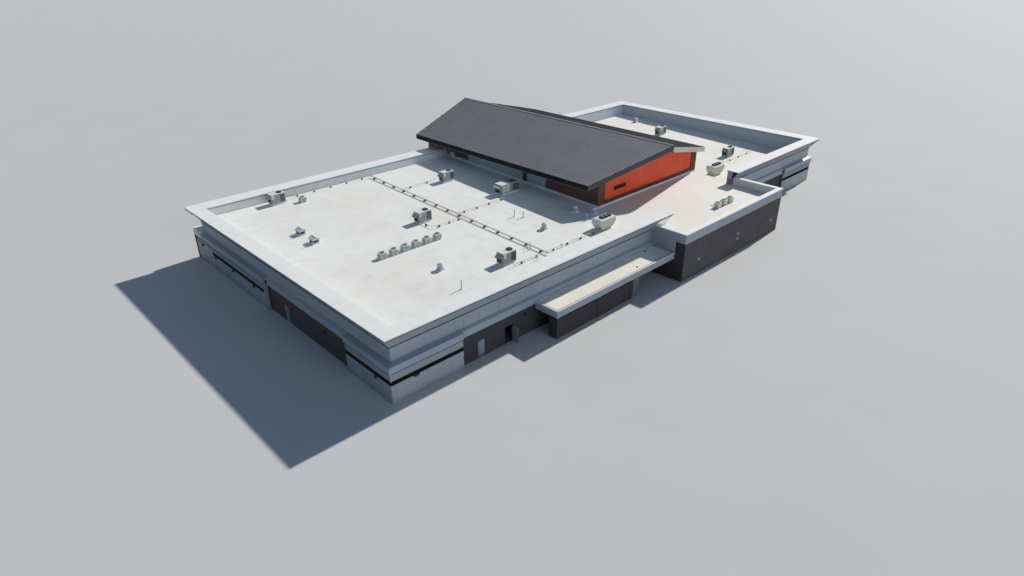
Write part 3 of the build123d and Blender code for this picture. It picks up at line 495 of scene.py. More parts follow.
# The light band: its sloped ledge is darker than its face
s = Surface("light_band", 0x98A6B1, 0.6, specular=0.3)
s.stain(0xA3B0BB, 0.6, 3.0, 3, 0.35, 0.7).streak(0x85919C, 0.3)
s.along("Z", band_high - 0.01, band_high + 0.01, 0x8A9BA8, 1.0)
s.along("Z", field_low - 0.02, field_low - 0.01, 0x8E9DAA, 0.5)
BAND = s.gloss(0.42, 0.6, 0.8, 3).relief(1.2, 0.9, 2).relief(0.25, 0.02, 2).done()

# The block's parapet with its white top, and the canopy's membrane inside a grey metal edge
s = Surface("block_parapet_metal", 0xA8B0BA, 0.45)
s.stain(0xB2B9C2, 0.5, 1.3, 4, 0.38, 0.7).streak(0x8C949E, 0.3, 0.2)
s.along("Z", block_top - 0.13, block_top - 0.12, 0xE8E9E7, 1.0)
PARAPET = s.gloss(0.36, 0.55, 0.5, 3).relief(0.8, 0.6, 2).relief(0.12, 0.012, 2).done()
s = Surface("canopy_deck", 0xE8E5D9, 0.65, specular=0.3)
s.stain(0xE0D8C6, 0.6, 1.8, 5, 0.42, 0.68).stain(0xCCC2AE, 0.3, 0.3, 5, 0.55, 0.75)
s.along("Z", canopy_deck + 0.02, canopy_deck + 0.03, 0x9FA7AE, 1.0)
s.along("Z", canopy_deck - 0.01, canopy_deck - 0.02, 0x9FA7AE, 1.0)
CANOPY = s.relief(3.0, 0.9, 3).relief(0.5, 0.03, 3).done()

s = Surface("raw_sheathing", 0xA0887C, 0.8, specular=0.2)
s.stain(0x8A7064, 0.6, 0.08, 5, 0.4, 0.7, (1, 0.4, 1)).stain(0xBCA89A, 0.5, 0.03, 4, 0.5, 0.75)
SHEATHING = s.relief(1.5, 0.03, 4).done()

s = Surface("roof_membrane", 0xE9EBE8, 0.62, specular=0.3)
s.stain(0xE2DFD6, 0.6, 9.0, 5, 0.42, 0.66).stain(0xD8D5CD, 0.35, 2.2, 6, 0.5, 0.72)
s.stain(0xC4C0B8, 0.3, 0.5, 5, 0.6, 0.76, (1, 0.3, 1)).stain(0xB0ACA4, 0.25, 0.12, 3, 0.64, 0.76)
s.along("Y", 5.0, 1.4, 0xE0D9CA, 0.5, (1.5, 4, 0.35, 0.7))
s.along("X", 46.0, 52.0, 0xE8E2D6, 0.6, (6.0, 4, 0.3, 0.6))
MEMBRANE = s.relief(4.0, 1.6, 3).relief(0.5, 0.03, 3).done()
s = Surface("membrane_flashing", 0xE6EAEC, 0.6, specular=0.3)
s.stain(0xDCDFDF, 0.6, 1.2, 4, 0.4, 0.7).streak(0xCCCDCA, 0.25, 0.3)
FLASHING = s.relief(2.0, 0.4, 4).done()

s = Surface("coping_white", 0xE8EAEA, 0.42).stain(0xE0E1DF, 0.6, 2.0, 4, 0.4, 0.7)
COPING = s.stain(0xCECDC8, 0.25, 0.25, 5, 0.58, 0.75).relief(1.5, 1.4, 2).gloss(0.3, 0.5, 0.5, 3).done()

s = Surface("dark_roof_metal", 0x81838A, 0.42, 0.25).island(0x8C8E96, 0.5)
s.stain(0x76787F, 0.6, 4.0, 4, 0.4, 0.7).stain(0x8F9095, 0.25, 0.4, 5, 0.55, 0.75, (0.15, 1, 1))
ROOF_METAL = s.gloss(0.34, 0.52, 1.2, 4).relief(1.5, 0.7, 2).done()

s = Surface("wood_cladding", 0x5A372B, 0.55).island(0x6E4535, 0.75)
s.stain(0x3A211B, 0.7, 0.05, 6, 0.4, 0.72, (1, 1, 0.06))
s.stain(0x8C5C46, 0.35, 0.015, 4, 0.5, 0.75, (1, 1, 0.04)).relief(1.6, 0.03, 5, 0.0, 1.0, (1, 1, 0.05))
WOOD = s.gloss(0.45, 0.7, 0.1, 4, 0.0, 1.0, (1, 1, 0.1)).done()

s = Surface("orange_panel", 0xEC522C, 0.45, specular=0.3).island(0xF25C32, 0.5)
s.stain(0xE24826, 0.5, 2.0, 3, 0.4, 0.7).streak(0xCC4024, 0.25, 0.25)
ORANGE = s.gloss(0.32, 0.5, 0.6, 3).relief(1.0, 0.8, 2).done()

s = Surface("concrete", 0x969591, 0.8).stain(0x807E79, 0.6, 1.5, 5, 0.35, 0.7)
CONCRETE = s.stain(0x6E6C68, 0.4, 0.05, 4, 0.5, 0.75).relief(1.2, 0.03, 4).done()

s = Surface("tinted_glass", 0x3A464E, 0.06, 0.0, 0.7).stain(0x263038, 0.6, 2.5, 3, 0.35, 0.7)
GLASS = s.stain(0x525C62, 0.2, 0.4, 4, 0.55, 0.75).gloss(0.04, 0.12, 0.5, 3).relief(0.6, 1.2, 1).done()

s = Surface("lamp_lens", 0xDEE0DC, 0.25).stain(0xC6CACC, 0.6, 0.05, 2, 0.3, 0.7)
LENS = s.relief(0.3, 0.01, 2).done()

RIBBED = painted("ribbed_grey_metal", 0xA0A7AC, 0xA9B0B4, 0x858C91)
# A darker, bluer copy of the ribbed metal for the end walls' cornice ribs: painted shade.
RIBBED_SHADED = painted("ribbed_metal_painted_shade", 0x909AA4, 0x9AA3AC, 0x727B84)
TRIM = painted("dark_trim", 0x24272B, 0x2E3135, 0x181A1D, 0.55, 0.0, 0.3)
EDGE_METAL = painted("dark_roof_trim", 0x363A3F, 0x404449, 0x292D32)
# Dark seams of the gable roof: painted shade.
ROOF_SEAM_SHADE = painted("roof_seam_painted_shade", 0x3A3C41, 0x44464B, 0x2D2F34, 0.45, 0.25)
# A light strip for the ridge cap's edge: painted highlight.
RIDGE_HIGHLIGHT = painted("ridge_edge_painted_highlight", 0xE0E5E8, 0xE7EBEE, 0xBEC4C8, 0.4)
UNCLAD = painted("unclad_fascia", 0xB8B5AC, 0xC4C1B9, 0x969288, 0.6)
UNIT = painted("unit_metal", 0x96A19A, 0xA4AEA7, 0x707973, 0.45)
UNIT_CREAM = painted("unit_cream", 0xDEDACB, 0xE8E4D7, 0xB8B2A1, 0.45)
UNIT_TOP = painted("light_unit_top", 0xD8DFDC, 0xE3E8E5, 0xB8BFBB, 0.45)
FAN_METAL = painted("fan_metal", 0xCAD2D8, 0xD4DBE0, 0x9CA5AC, 0.45, 0.1)
# Dark grilles and louvres, and the dark sheets and discs inside openings: painted shade.
GRILLE_AND_SHADE = painted("dark_grille_and_painted_shade", 0x222627, 0x2C3131, 0x16191A, 0.5)
COIL = painted("coil_grey", 0x626B69, 0x707976, 0x48504F, 0.5)
LIGHT_COIL = painted("light_coil_grey", 0xBAC2C5, 0xC6CDD0, 0x8C9497, 0.5)
STEEL = painted("steel", 0x787C80, 0x8C8F92, 0x585A5D, 0.4, 0.6)
PIPE = painted("pipe_metal", 0xB6B5AE, 0xC2C1BB, 0x8E8D87, 0.5, 0.2)
SUPPORT = painted("grey_support_block", 0x484846, 0x565653, 0x363635, 0.75)
DOOR = painted("door_metal", 0x808B94, 0x8B959E, 0x656E77)
GATE = painted("gate_metal", 0x6C7276, 0x787E82, 0x545A5E, 0.5)
JOINT = painted("joint_grey", 0x7E8B96, 0x86939D, 0x707C86)
WHITE_TRIM = painted("white_trim", 0xDEE1E2, 0xE8EAEA, 0xBCBFC0)
# Corner trims lighter than the siding: a real trim, its lightness partly a painted highlight on the corner.
CORNER_TRIM_HIGHLIGHT = painted("corner_trim", 0xAEB4B8, 0xB8BEC1, 0x92989C)
UPPER_RIBS = painted("upper_siding_ribs", 0x92979A, 0x9BA0A2, 0x787D81)
# Black for the window strip, and also for the strips that stand for shadow lines: painted shadow.
STRIP_AND_SHADOW = painted("black_strip_and_painted_shadow", 0x121518, 0x181B1E, 0x0B0D0F, 0.8, 0.0, 0.05)
CANOPY_EDGE = painted("canopy_edge_metal", 0x9FA7AE, 0xA9B1B7, 0x818990)
DARK_WOOD = painted("dark_brown_trim", 0x3A241F, 0x462D26, 0x261714, 0.6)
LAMP_BODY = painted("light_lamp_body", 0xACB0B2, 0xBEC2C3, 0x808487, 0.45)
# Greyer, bluer copies of the white membrane for the inner faces of the wing's and the main roof's parapets:
# painted shade.
INNER_SHEET_SHADED = painted("wing_parapet_sheet_painted_shade", 0xC4CBD4, 0xCDD3DB, 0xA8AFB8, 0.6)
MAIN_SHEET_SHADED = painted("main_parapet_sheet_painted_shade", 0xD1D5D6, 0xDADDDE, 0xB4B7B8, 0.6)

for surface, nodes in (
        (CONCRETE, "floor_slab"), (LOW_SIDING, "main_siding wing_siding"),
        (BAND, "band_service_side band_ends"),
        (LIGHT_SIDING, "upper_walls_service_side upper_walls_ends upper_walls_front"),
        (MORTAR, "main_masonry door_lintels wing_masonry block_masonry yard_wall front_piers front_rails"),
        (PARAPET, "block_parapet"), (CANOPY, "service_canopy"), (STEEL, "door_hinges front_brackets"),
        (DOOR, "left_door service_door yard_door"), (GATE, "yard_gate_panel"),
        (CORNICE, "cornice_service_side"), (CORNICE_SHADED, "coping_ends"), (COPING, "cornice_front"),
        (GLASS, "front_glass gable_front_glass"), (WOOD, "gable_wood_walls gable_wood_piers"),
        (MEMBRANE, "front_ledge_roof roof_deck_main roof_deck_service roof_deck_wing"),
        (GREY_SIDING, "gable_siding_walls"), (ORANGE, "gable_end_panel"),
        (ROOF_METAL, "gable_roof_left gable_roof_right"), (UNIT, "rooftop_units"), (UNIT_TOP, "condensers"),
        (UNIT_CREAM, "kitchen_units"), (FAN_METAL, "exhaust_fans"), (PIPE, "roof_pipes"),
        (SUPPORT, "pipe_supports")):
    for node in nodes.split():
        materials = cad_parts[node].data.materials
        materials.clear()
        materials.append(surface)

# Walls and roofs

service = Wall("y", 0.0, -1)
left = Wall("x", 0.0, -1)
wing = Wall("y", y_wing, -1)
right = Wall("x", x_right, 1)
service_masonry, left_masonry, right_masonry = (wall.inward(masonry_in) for wall in (service, left, right))
block_front = Wall("y", y_block, -1)
block_left = Wall("x", x_block, -1)
block_right = Wall("x", x_block_right, 1)
hall_left = Wall("x", gable_left, -1)
hall_right = Wall("x", gable_right, 1)
hall_end = Wall("y", gable_end, -1)
canopy_front = Wall("y", canopy_near, -1)
canopy_end = Wall("x", canopy_left, -1)
yard_front = Wall("y", yard_near + 0.05, -1)
yard_back = Wall("y", yard_front.plane + 0.3, 1)
main_roof = Deck(5.9)
wing_roof = Deck(5.0)
slope_left = Slope(z_ridge, -1)
slope_right = Slope(z_ridge - ridge_drop, 1)
hall_sides = ((main_roof, hall_left), (wing_roof, hall_right))


def roof_under(x):
    return main_roof if x < gable_right else wing_roof


def hall_head(x):
    """Underside of the gable roof over a point of the hall's width."""
    if x <= x_ridge:
        return z_ridge - roof_fall * (x_ridge - x) - gable_deck
    return z_ridge - ridge_drop - roof_fall * (x - x_ridge) - gable_deck


def lower_head(a, b, gap=0.01):
    return min(hall_head(a), hall_head(b)) - gap


# Masonry blocks

b = Build("main_wall_blocks", MASONRY, "dark_masonry")
b.blocks(left_masonry, left_siding_end, left_siding_start, 0, band_low, [(23.09, 24.31)])
b.blocks(service_masonry, service_siding_end, x_block, 0, band_low, [(12.14, 13.36), (16.44, 17.76)])
b = Build("service_block_blocks", BLOCK_MASONRY, "dark_masonry")
b.blocks(block_front, x_block, x_block_right, 0, block_masonry_top)
b.blocks(block_right, y_block, y_wing + field_in - 0.03, 0, block_masonry_top)
# The block's left face takes the darker wall blocks: painted shade on the shaded side.
b = Build("service_block_left_blocks", MASONRY, "dark_masonry")
b.blocks(block_left, y_block, canopy_near, 0, block_masonry_top)
b.blocks(block_left, canopy_near, masonry_in, 0, canopy_low)
b = Build("wing_wall_blocks", MASONRY, "dark_masonry")
b.blocks(wing.inward(masonry_in), x_block_right, wing_siding_start, 0, band_low)
b.blocks(right_masonry, right_siding_end, right_siding_start, 0, band_low)

# The yard wall's darker blocks are painted shade under the canopy.
b = Build("yard_wall_blocks", YARD_MASONRY_SHADED, "dark_masonry")
yard_top = 2.7
yard_pier_top = 3.85
pier_wide = 0.6
pier_starts = [yard_left, (yard_left + yard_right) / 2, yard_right - pier_wide]
for near, far in zip(pier_starts, pier_starts[1:]):
    for to in (yard_front, yard_back):
        b.blocks(to, near + pier_wide, far, 0, yard_top)
for near in pier_starts:
    for to in (yard_front.inward(-0.05), yard_back.inward(-0.05)):
        b.blocks(to, near, near + pier_wide, 0, yard_top)
        b.blocks(to, near, near + pier_wide, yard_top, yard_pier_top)
b.blocks(Wall("x", yard_left, -1), yard_front.plane, yard_far, 0, yard_top)

b = Build("front_pier_blocks", MASONRY, "dark_masonry")
for low, high in solids("front_piers"):
    for to, near, far in sides(*low[:2], *high[:2])[1:]:
        b.blocks(to, near, far, 0, band_low)
for low, high in solids("front_rails"):
    b.blocks(Wall("y", high[1], 1), low[0], high[0], low[2], high[2])

# Ribs of the flared cornice, with a black strip where it meets the wall, which is painted shadow, and the
# dark drip under its lip, a trim whose darkness is partly painted shadow

flare_service, flare_left, flare_wing = (Flare(wall, coping_out) for wall in (service, left, wing))
flare_right = Flare(right, coping_out_right)


def cornice_ribs(build, to, low, high, near=None, far=None):
    """Ribs from the wall to the lip, cut back where the mitre with a neighbour runs through them."""
    for a in steps(low, high, rib_pitch):
        z0 = cornice_low
        if near:
            z0 = max(z0, cornice_low + (near.plane + field_in - a) / near.lean)
        if far:
            z0 = max(z0, cornice_low + (a - far.plane + field_in) / far.lean)
        if z0 < lip_low - 0.2:
            build.tile(a - rib_half, a + rib_half, z0 + 0.01, lip_low - 0.12, 0.03, 0.02, to, 0.0)


b = Build("cornice_ribs_service_side", RIBBED, "grey_cornice")
cornice_ribs(b, flare_service, -0.4, 45.6, near=flare_left)
cornice_ribs(b, flare_wing, x_wing_end + 0.1, x_right + 1.0, far=flare_right)
b = Build("cornice_ribs_ends", RIBBED_SHADED, "grey_cornice")
cornice_ribs(b, flare_left, -0.4, y_ledge - 0.1, near=flare_service)
cornice_ribs(b, flare_right, y_wing - 0.4, y_ledge - 0.1, near=flare_wing)

# A dark drip trim under each lip; its darkness is partly painted shadow under the lip.
b = Build("lip_drips_and_painted_shadow", TRIM, "white_coping")
lip_lean = 0.09
for to, low, high, lip in ((service, -0.5, x_cornice_end, coping_out), (left, -0.5, y_ledge, coping_out),
        (wing, x_wing_end, x_right + 1.0, coping_out),
        (right, y_wing - 0.5, y_ledge, coping_out_right)):
    b.box(low, high, lip - lip_lean - 0.04, lip - 0.006, lip_low - 0.11, lip_low + 0.012, to)
# Black strips where the flare meets the wall: painted shadow under the cornice.
b = Build("cornice_painted_shadow_lines", STRIP_AND_SHADOW, "grey_cornice")
for to, low, high in ((service, field_in, x_block), (left, field_in, y_field_front),
        (wing, x_block_right, x_right - field_in), (right, y_wing + field_in, y_field_front)):
    b.box(low, high, -sunk, 0.03, cornice_low - 0.1, cornice_low + 0.01, to.inward(field_in))

# White sheet over the lower cornice beside the block, and the raw end of the wing's cornice

b = Build("cornice_membrane_patch", FLASHING, "roof_membrane")
b.box(x_block, x_cornice_end, -sunk, 0.012, cornice_low + 0.05, lip_low - 0.5, flare_service)
b.box(x_block, x_cornice_end, -sunk, 0.012, main_roof.top(0.6), cornice_low + 0.04, service.inward(field_in))
b = Build("wing_cornice_raw_end", SHEATHING, "wood_cladding")
raw_face = Wall("x", x_wing_end, -1)
raw_base = main_roof.top(3.6) + 0.05
b.box(y_wing + 0.58, y_wing + 1.37, -sunk, 0.014, raw_base, raw_base + 0.9, raw_face)
raw_base += 0.05
b.ribs(raw_face, y_wing + 0.62, y_wing + 1.33, 0.3, 0.02, raw_base, raw_base + 0.8, 0.03, 0.004, None)

# Joints and trims of the upper walls

b = Build("upper_wall_joints", JOINT, "light_siding")
for to, places in ((service, (9.1, 9.7, 10.3, 21.1, 32.5, 43.9)), (left, (9.7, 21.1, 32.5, 43.9)),
        (wing, (80.0, 91.4)), (right, (14.5, 25.9, 37.3))):
    for at in places:
        band = band_in if to in (service, left) and 9.75 < at < 28.3 else -band_out
        for depth, z0, z1 in ((field_in, field_low + 0.01, cornice_low - 0.06),
                (band, band_low + 0.02, band_high - 0.02)):
            b.tile(at - 0.02, at + 0.02, z0, z1, 0.012, 0.004, to.inward(depth))

# The lower corner trims are lighter than the siding: partly painted highlight.
corner_trims = Build("corner_trims", CORNER_TRIM_HIGHLIGHT, "white_coping")
field_trims = Build("upper_corner_trims", LIGHT_SIDING, "light_siding")
trim_wide = 0.07
for x, y, sign in ((0.0, 0.0, 1), (x_right, y_wing, -1)):
    for b, inset, z0, z1 in (
            (field_trims, field_in, field_low, cornice_low), (corner_trims, 0.0, 0.0, strip_low),
            (corner_trims, 0.0, strip_high, band_low)):
        at = x + sign * inset
        near, far = sorted((at, at + sign * trim_wide))
        b.box(at - 0.012, at + 0.012, y + inset - 0.012, y + inset + trim_wide, z0 + 0.01, z1 - 0.01)
        b.box(near, far, y + inset - 0.012, y + inset + 0.012, z0 + 0.012, z1 - 0.012)

# Siding of the corners: boards below, a dark strip, ribs above

board_wide = 0.3
strip_head = strip_high + 0.07
strip_in = 0.1
siding_runs = [(service, strip_in, service_siding_end), (left, strip_in, left_siding_end),
    (left, left_siding_start, siding_far), (wing, wing_siding_start, x_right - strip_in),
    (right, y_wing + strip_in, right_siding_end), (right, right_siding_start, siding_far)]
strip_runs = siding_runs[:2] + [(left, 29.0, 45.6)] + siding_runs[3:]
low_boards = Build("lower_siding_boards", LOW_SIDING, "light_siding")
upper_ribs = Build("upper_siding_ribs", UPPER_RIBS, "light_siding")
# A black strip along the band's lower edge: painted shadow under the band.
shadow = Build("band_shadow_line", STRIP_AND_SHADOW, "light_siding")
for to, low, high in siding_runs:
    low_boards.boards(to, low, high, board_wide, 0.008, 0.02, strip_low - 0.01, 0.012, 0.006)
    upper_ribs.ribs(to, low + 0.05, high - 0.05, 0.15, 0.04, strip_head + 0.005, band_low - 0.06,
        0.02, 0.015)
    shadow.box(low - 0.08, high, band_out - 0.004, band_out + 0.01, band_low + 0.004, band_low + 0.07, to)
b = Build("dark_window_strip", STRIP_AND_SHADOW, "light_siding")
for to, low, high in strip_runs:
    b.box(low, high, -0.002, strip_in - 0.002, strip_low + 0.004, strip_high - 0.004, to.inward(strip_in))
    b.box(low, high, -sunk, 0.014, strip_low - 0.01, strip_head, to)
    b.ribs(to, low + 0.6, high - 0.6, 1.2, 0.03, strip_low, strip_head - 0.01, 0.022, 0.004, None)

# Coping cover plates and the front edge

b = Build("coping_cover_plates", COPING, "white_coping")
plate_pitch = 3.05
for to, low, high, at, out in (
        (service, 1.6, 48.0, 0.0, coping_out), (left, 1.6, 48.0, 0.0, coping_out),
        (right, 1.6, 48.0, 3.55, coping_out_right), (wing, 73.6, 100.2, 0.0, coping_out)):
    for a in steps(low + at, high + at, plate_pitch):
        b.box(a - 0.05, a + 0.05, -coping_in + 0.02, out - 0.01, top - 0.003, top + 0.006, to)
for near, far in ((1.6, gable_left - 0.4), (gable_right + 0.4, x_right - 1.6)):
    for a in steps(near, far, plate_pitch):
        b.box(a - 0.08, a + 0.08, y_ledge + 0.02, y_field_front + 2.38, top - 0.003, top + 0.006)

# Membrane turned up against the parapets and the hall


def turned_up(build, to, low, high, roof, head=top - 0.32):
    z0, z1 = (roof.top(y if to.axis == "x" else to.plane) for y in (low, high))
    build.prism([(low, z0 + 0.005), (high, z1 + 0.005), (high, head), (low, head)], -sunk, 0.012, to)


# The main and wing parapets take the painted-shade copies of the membrane; the block's parapet takes the
# plain flashing.
b = Build("main_parapet_membrane", MAIN_SHEET_SHADED, "roof_membrane")
turned_up(b, Wall("y", parapet_in, 1), parapet_in, 46.4, main_roof)
turned_up(b, Wall("x", parapet_in, 1), parapet_in, y_ledge, main_roof)
turned_up(b, Wall("y", y_ledge, -1), parapet_in, gable_left, main_roof)
b = Build("wing_parapet_membrane", INNER_SHEET_SHADED, "roof_membrane")
turned_up(b, Wall("y", y_wing + parapet_in, 1), 73.9, x_right - parapet_in, wing_roof)
turned_up(b, Wall("x", x_right - parapet_in, -1), y_wing + parapet_in, y_ledge, wing_roof)
turned_up(b, Wall("y", y_ledge, -1), gable_right, x_right - parapet_in, wing_roof)
b = Build("block_parapet_membrane", FLASHING, "roof_membrane")
x0, x1, y0 = x_block + block_in, x_block_right - block_in, y_block + block_in
for to, low, high in (
        (Wall("x", x0, 1), y0, field_in), (Wall("y", y0, 1), x0, x1), (Wall("x", x1, -1), y0, 3.3)):
    turned_up(b, to, low, high, main_roof, block_top - 0.01)

b = Build("hall_base_flashing", FLASHING, "roof_membrane")
flash_high = 0.45
z0, z1 = main_roof.top(gable_end), main_roof.top(parapet_in)
panel_foot = z0 + 0.3
for roof, to in hall_sides:
    ends = [(y, roof.top(y)) for y in (gable_end, y_ledge)]
    b.prism(ends + [(y, z + flash_high) for y, z in reversed(ends)], -sunk, 0.035, to)
b.box(gable_left - 0.035, gable_right + 0.035, -sunk, 0.035, z0, panel_foot, hall_end)
b.box(x_block + block_in, x_cornice_end, -sunk, 0.02, z1, z1 + 0.3, Wall("y", parapet_in, 1))

# Seams of the roof membrane, and drains

b = Build("membrane_seams", MEMBRANE, "roof_membrane")
sheet_wide = 3.05
overlap = 0.1
for y in steps(parapet_in + sheet_wide, y_ledge - 1.0, sheet_wide):
    b.box(parapet_in, gable_left, y, y + overlap, -0.003, 0.005, main_roof)
    if y > y_wing + parapet_in:
        b.box(gable_right, x_right - parapet_in, y, y + overlap, -0.003, 0.005, wing_roof)
for y in steps(y_block + 1.6, gable_end - 0.8, sheet_wide):
    b.box(x_block + 0.8, 72.6, y, y + overlap, -0.003, 0.005, main_roof)
for x in (9.6, 18.0, 27.0, 35.5):
    b.box(x, x + overlap, parapet_in, y_ledge, -0.003, 0.0055, main_roof)

b = Build("roof_drains", TRIM, "black_plastic")
for x, y in ((8.0, 2.4), (24.0, 2.4), (40.0, 2.4), (80.0, 5.6), (94.0, 5.6), (56.0, -3.4), (68.0, -3.4)):
    b.lathe([(0.22, -0.02), (0.22, 0.02), (0.16, 0.035), (0.15, 0.1), (0.05, 0.16), (0.02, 0.165)],
        x, y, roof_under(x).top(y), 16)

# Standing seams and edges of the gable roof

# The standing seams are drawn much darker than the roof metal: painted shade along each seam.
seam_pitch = 0.46
seam_high = 0.06
seam_wide = 0.04
for to, name, near in ((slope_left, "left_slope_seams", 0.4), (slope_right, "right_slope_seams", 0.02)):
    b = Build(name, ROOF_SEAM_SHADE, "dark_metal_roof")
    for y in steps(y_ridge_service + seam_pitch, y_ridge_front - seam_pitch, seam_pitch):
        far = roof_half - 0.02
        if y < y_ridge_service + prow_service:
            far = (y - y_ridge_service) / prow_service * roof_half - 0.08
        if y > y_ridge_front - prow_front:
            far = (y_ridge_front - y) / prow_front * roof_half - 0.08
        if far > near:
            b.box(near, far, y - seam_wide / 2, y + seam_wide / 2, -sunk, seam_high, to)

# Below the ridge cap a dark strip of painted shadow, and along the cap's edge a light strip of painted
# highlight.
b = Build("ridge_cap_painted_shadow", ROOF_SEAM_SHADE, "dark_metal_roof")
b.box(0.3, 0.4, y_ridge_service + 0.1, y_ridge_front - 0.1, -sunk, 0.035, slope_left)
b = Build("ridge_cap_painted_highlight", RIDGE_HIGHLIGHT, "dark_metal_roof")
b.box(-0.04, 0.17, y_ridge_service + 0.03, y_ridge_front - 0.06, -0.02, 0.014, slope_left)


def edge_board(build, to, high, low=0.84, out=0.03):
    """A board along the prow of a slope, between two heights below the metal."""
    ends = ((0.0, y_ridge_service), (roof_half, y_ridge_service + prow_service))
    near, far = ([(a, y, -low), (a, y - out, -low), (a, y - out, -high), (a, y, -high)] for a, y in ends)
    build.loft(near, far, to)


b = Build("left_slope_edge", EDGE_METAL, "dark_metal_roof")
edge_board(b, slope_left, -0.03)
b.box(roof_half - 0.04, roof_half, 11.9, 54.9, -0.8, 0.02, slope_left)
edge_board(Build("right_slope_raw_fascia", UNCLAD, "white_coping"), slope_right, 0.05)

# Gable hall: wood boards, grey siding ribs, and the orange end

plank_wide = 0.15


def planks(build, to, low, high, base, head):
    build.boards(to, low, high, plank_wide, 0.004, base, head, 0.02, 0.005)


b = Build("hall_wood_boards", WOOD, "wood_cladding")
for roof, to in hall_sides:
    for low, high in ((gable_end, wood_end), (wood_start, wood_far)):
        planks(b, to, low, high,
            lambda near, far: roof.top(near) + flash_high if near < y_ledge else top + 0.01,
            hall_head(to.plane) - 0.01)
for low in (gable_left, post_right):
    planks(b, hall_end, low, low + gable_post, panel_foot, lower_head)
b = Build("porch_pier_boards", WOOD, "wood_cladding")
for low in (gable_left, post_right):
    planks(b, Wall("y", gable_front, 1), low, low + gable_post, 0.02, lower_head)
for to, low in (
        (hall_left, porch_outer), (Wall("x", post_left, 1), porch_inner),
        (Wall("x", post_right, -1), porch_inner), (hall_right, porch_outer)):
    planks(b, to, low, gable_front, 0.02, hall_head(to.plane) - 0.01)
b = Build("hall_siding_ribs", GREY_SIDING, "grey_siding")
for roof, to in hall_sides:
    b.ribs(to, wood_end + 0.15, wood_start - 0.15, 0.3, rib_half, lambda a: roof.top(a) + flash_high,
        hall_head(to.plane) - 0.01, 0.03, 0.02)

b = Build("orange_panels", ORANGE, "orange_panel")
panel_base = main_roof.top(gable_end) + gable_base
panel_seams = (8.9, 10.9, 12.9)
panel_face = hall_end.inward(0.08)
for near, far in bays(post_left, post_right, 1.22):
    head = lower_head(near, far, 0.02)
    rows = [z for z in (panel_base, *panel_seams) if z < head - 0.3] + [head]
    for z0, z1 in zip(rows, rows[1:]):
        b.tile(near + 0.004, far - 0.004, z0 + 0.004, z1 - 0.004, 0.012, 0.003, panel_face)
b = Build("orange_panel_frame", DARK_WOOD, "wood_cladding")
b.box(post_left, post_right, 0.004, 0.03, panel_foot, panel_base + 0.06, hall_end)
for x in (post_left, post_right - 0.12):
    b.box(x, x + 0.12, -0.08, 0.03, panel_base, lower_head(x, x + 0.12, 0.02), hall_end)

b = Build("hall_wall_post", TRIM, "wood_cladding")
b.tile(27.5, 28.3, main_roof.top(27.9) + flash_high, 8.6, 0.18, 0.01, hall_left)
b.tile(27.42, 28.38, 8.6, 8.72, 0.22, 0.01, hall_left)
b = Build("hall_wall_cabinet", UNIT_TOP, "unit_metal")
b.tile(46.6, 47.7, main_roof.top(47.0) + 0.2, 8.0, 0.3, 0.03, hall_left)
b.tile(46.75, 47.55, 7.2, 7.85, 0.32, 0.01, hall_left)
b.tube([(48.2, 0.12, main_roof.top(48.2) + 0.05), (48.2, 0.12, 8.3), (48.2, 0.02, 8.4)], 0.06, 8, hall_left)
b = Build("hall_louvre", TRIM, "wood_cladding")
b.box(51.0, 53.9, -sunk, 0.1, 8.2, 8.74, panel_face)
for z in steps(8.27, 8.67, 0.1):
    b.box(51.05, 53.85, 0.08, 0.2, z - 0.015, z + 0.015, panel_face)
b.box(50.95, 53.95, -sunk, 0.24, 8.74, 8.79, panel_face)

# Block parapet ribs, and the canopy's edges and drains

b = Build("block_parapet_ribs", PARAPET, "light_siding")
for to, low, high, base, head in (
        (block_front, x_block + 0.1, x_block_right - 0.1, block_masonry_top + 0.125, block_top - 0.125),
        (block_left, y_block + 0.1, 0.35, block_masonry_top + 0.125, block_top - 0.125),
        (block_right, y_block + 0.1, 3.4, block_masonry_top + 0.125, block_top - 0.125),
        (block_left, canopy_near + 0.1, 0.35, canopy_deck + 0.14, block_masonry_top - 0.01)):
    b.ribs(to, low, high, rib_pitch, rib_half, base, head, 0.03, 0.02)
ribs = Build("canopy_edge_ribs", CANOPY_EDGE, "light_siding")
cap = Build("canopy_coping", WHITE_TRIM, "white_coping")
for to, low, high, rib_end in (
        (canopy_front, canopy_left, x_block, x_block - 0.1), (canopy_end, canopy_near, 0.15, 0.1)):
    ribs.ribs(to, low + 0.08, rib_end, rib_pitch, rib_half, 3.24, 4.08, 0.02, 0.015)
    cap.box(low - 0.02, high, -0.12, 0.03, 4.14, 4.162, to)
    cap.box(low - 0.02, high, 0.0, 0.03, 4.09, 4.15, to)
b = Build("canopy_wall_flashing", PARAPET, "light_siding")
b.box(canopy_left + 0.3, x_block - 0.02, -sunk, 0.03, canopy_deck, canopy_deck + 0.07,
    service.inward(band_in))
b.box(canopy_near + 0.3, band_in, 0.0, 0.03, canopy_deck, canopy_deck + 0.13, block_left)
b = Build("canopy_drains", TRIM, "light_siding")
for x, y in ((38.26, -2.49), (43.16, -0.21)):
    b.lathe([(0.14, -0.01), (0.14, 0.02), (0.1, 0.04), (0.09, 0.1), (0.03, 0.13)], x, y, canopy_deck, 14)

# Downspouts with their conductor heads

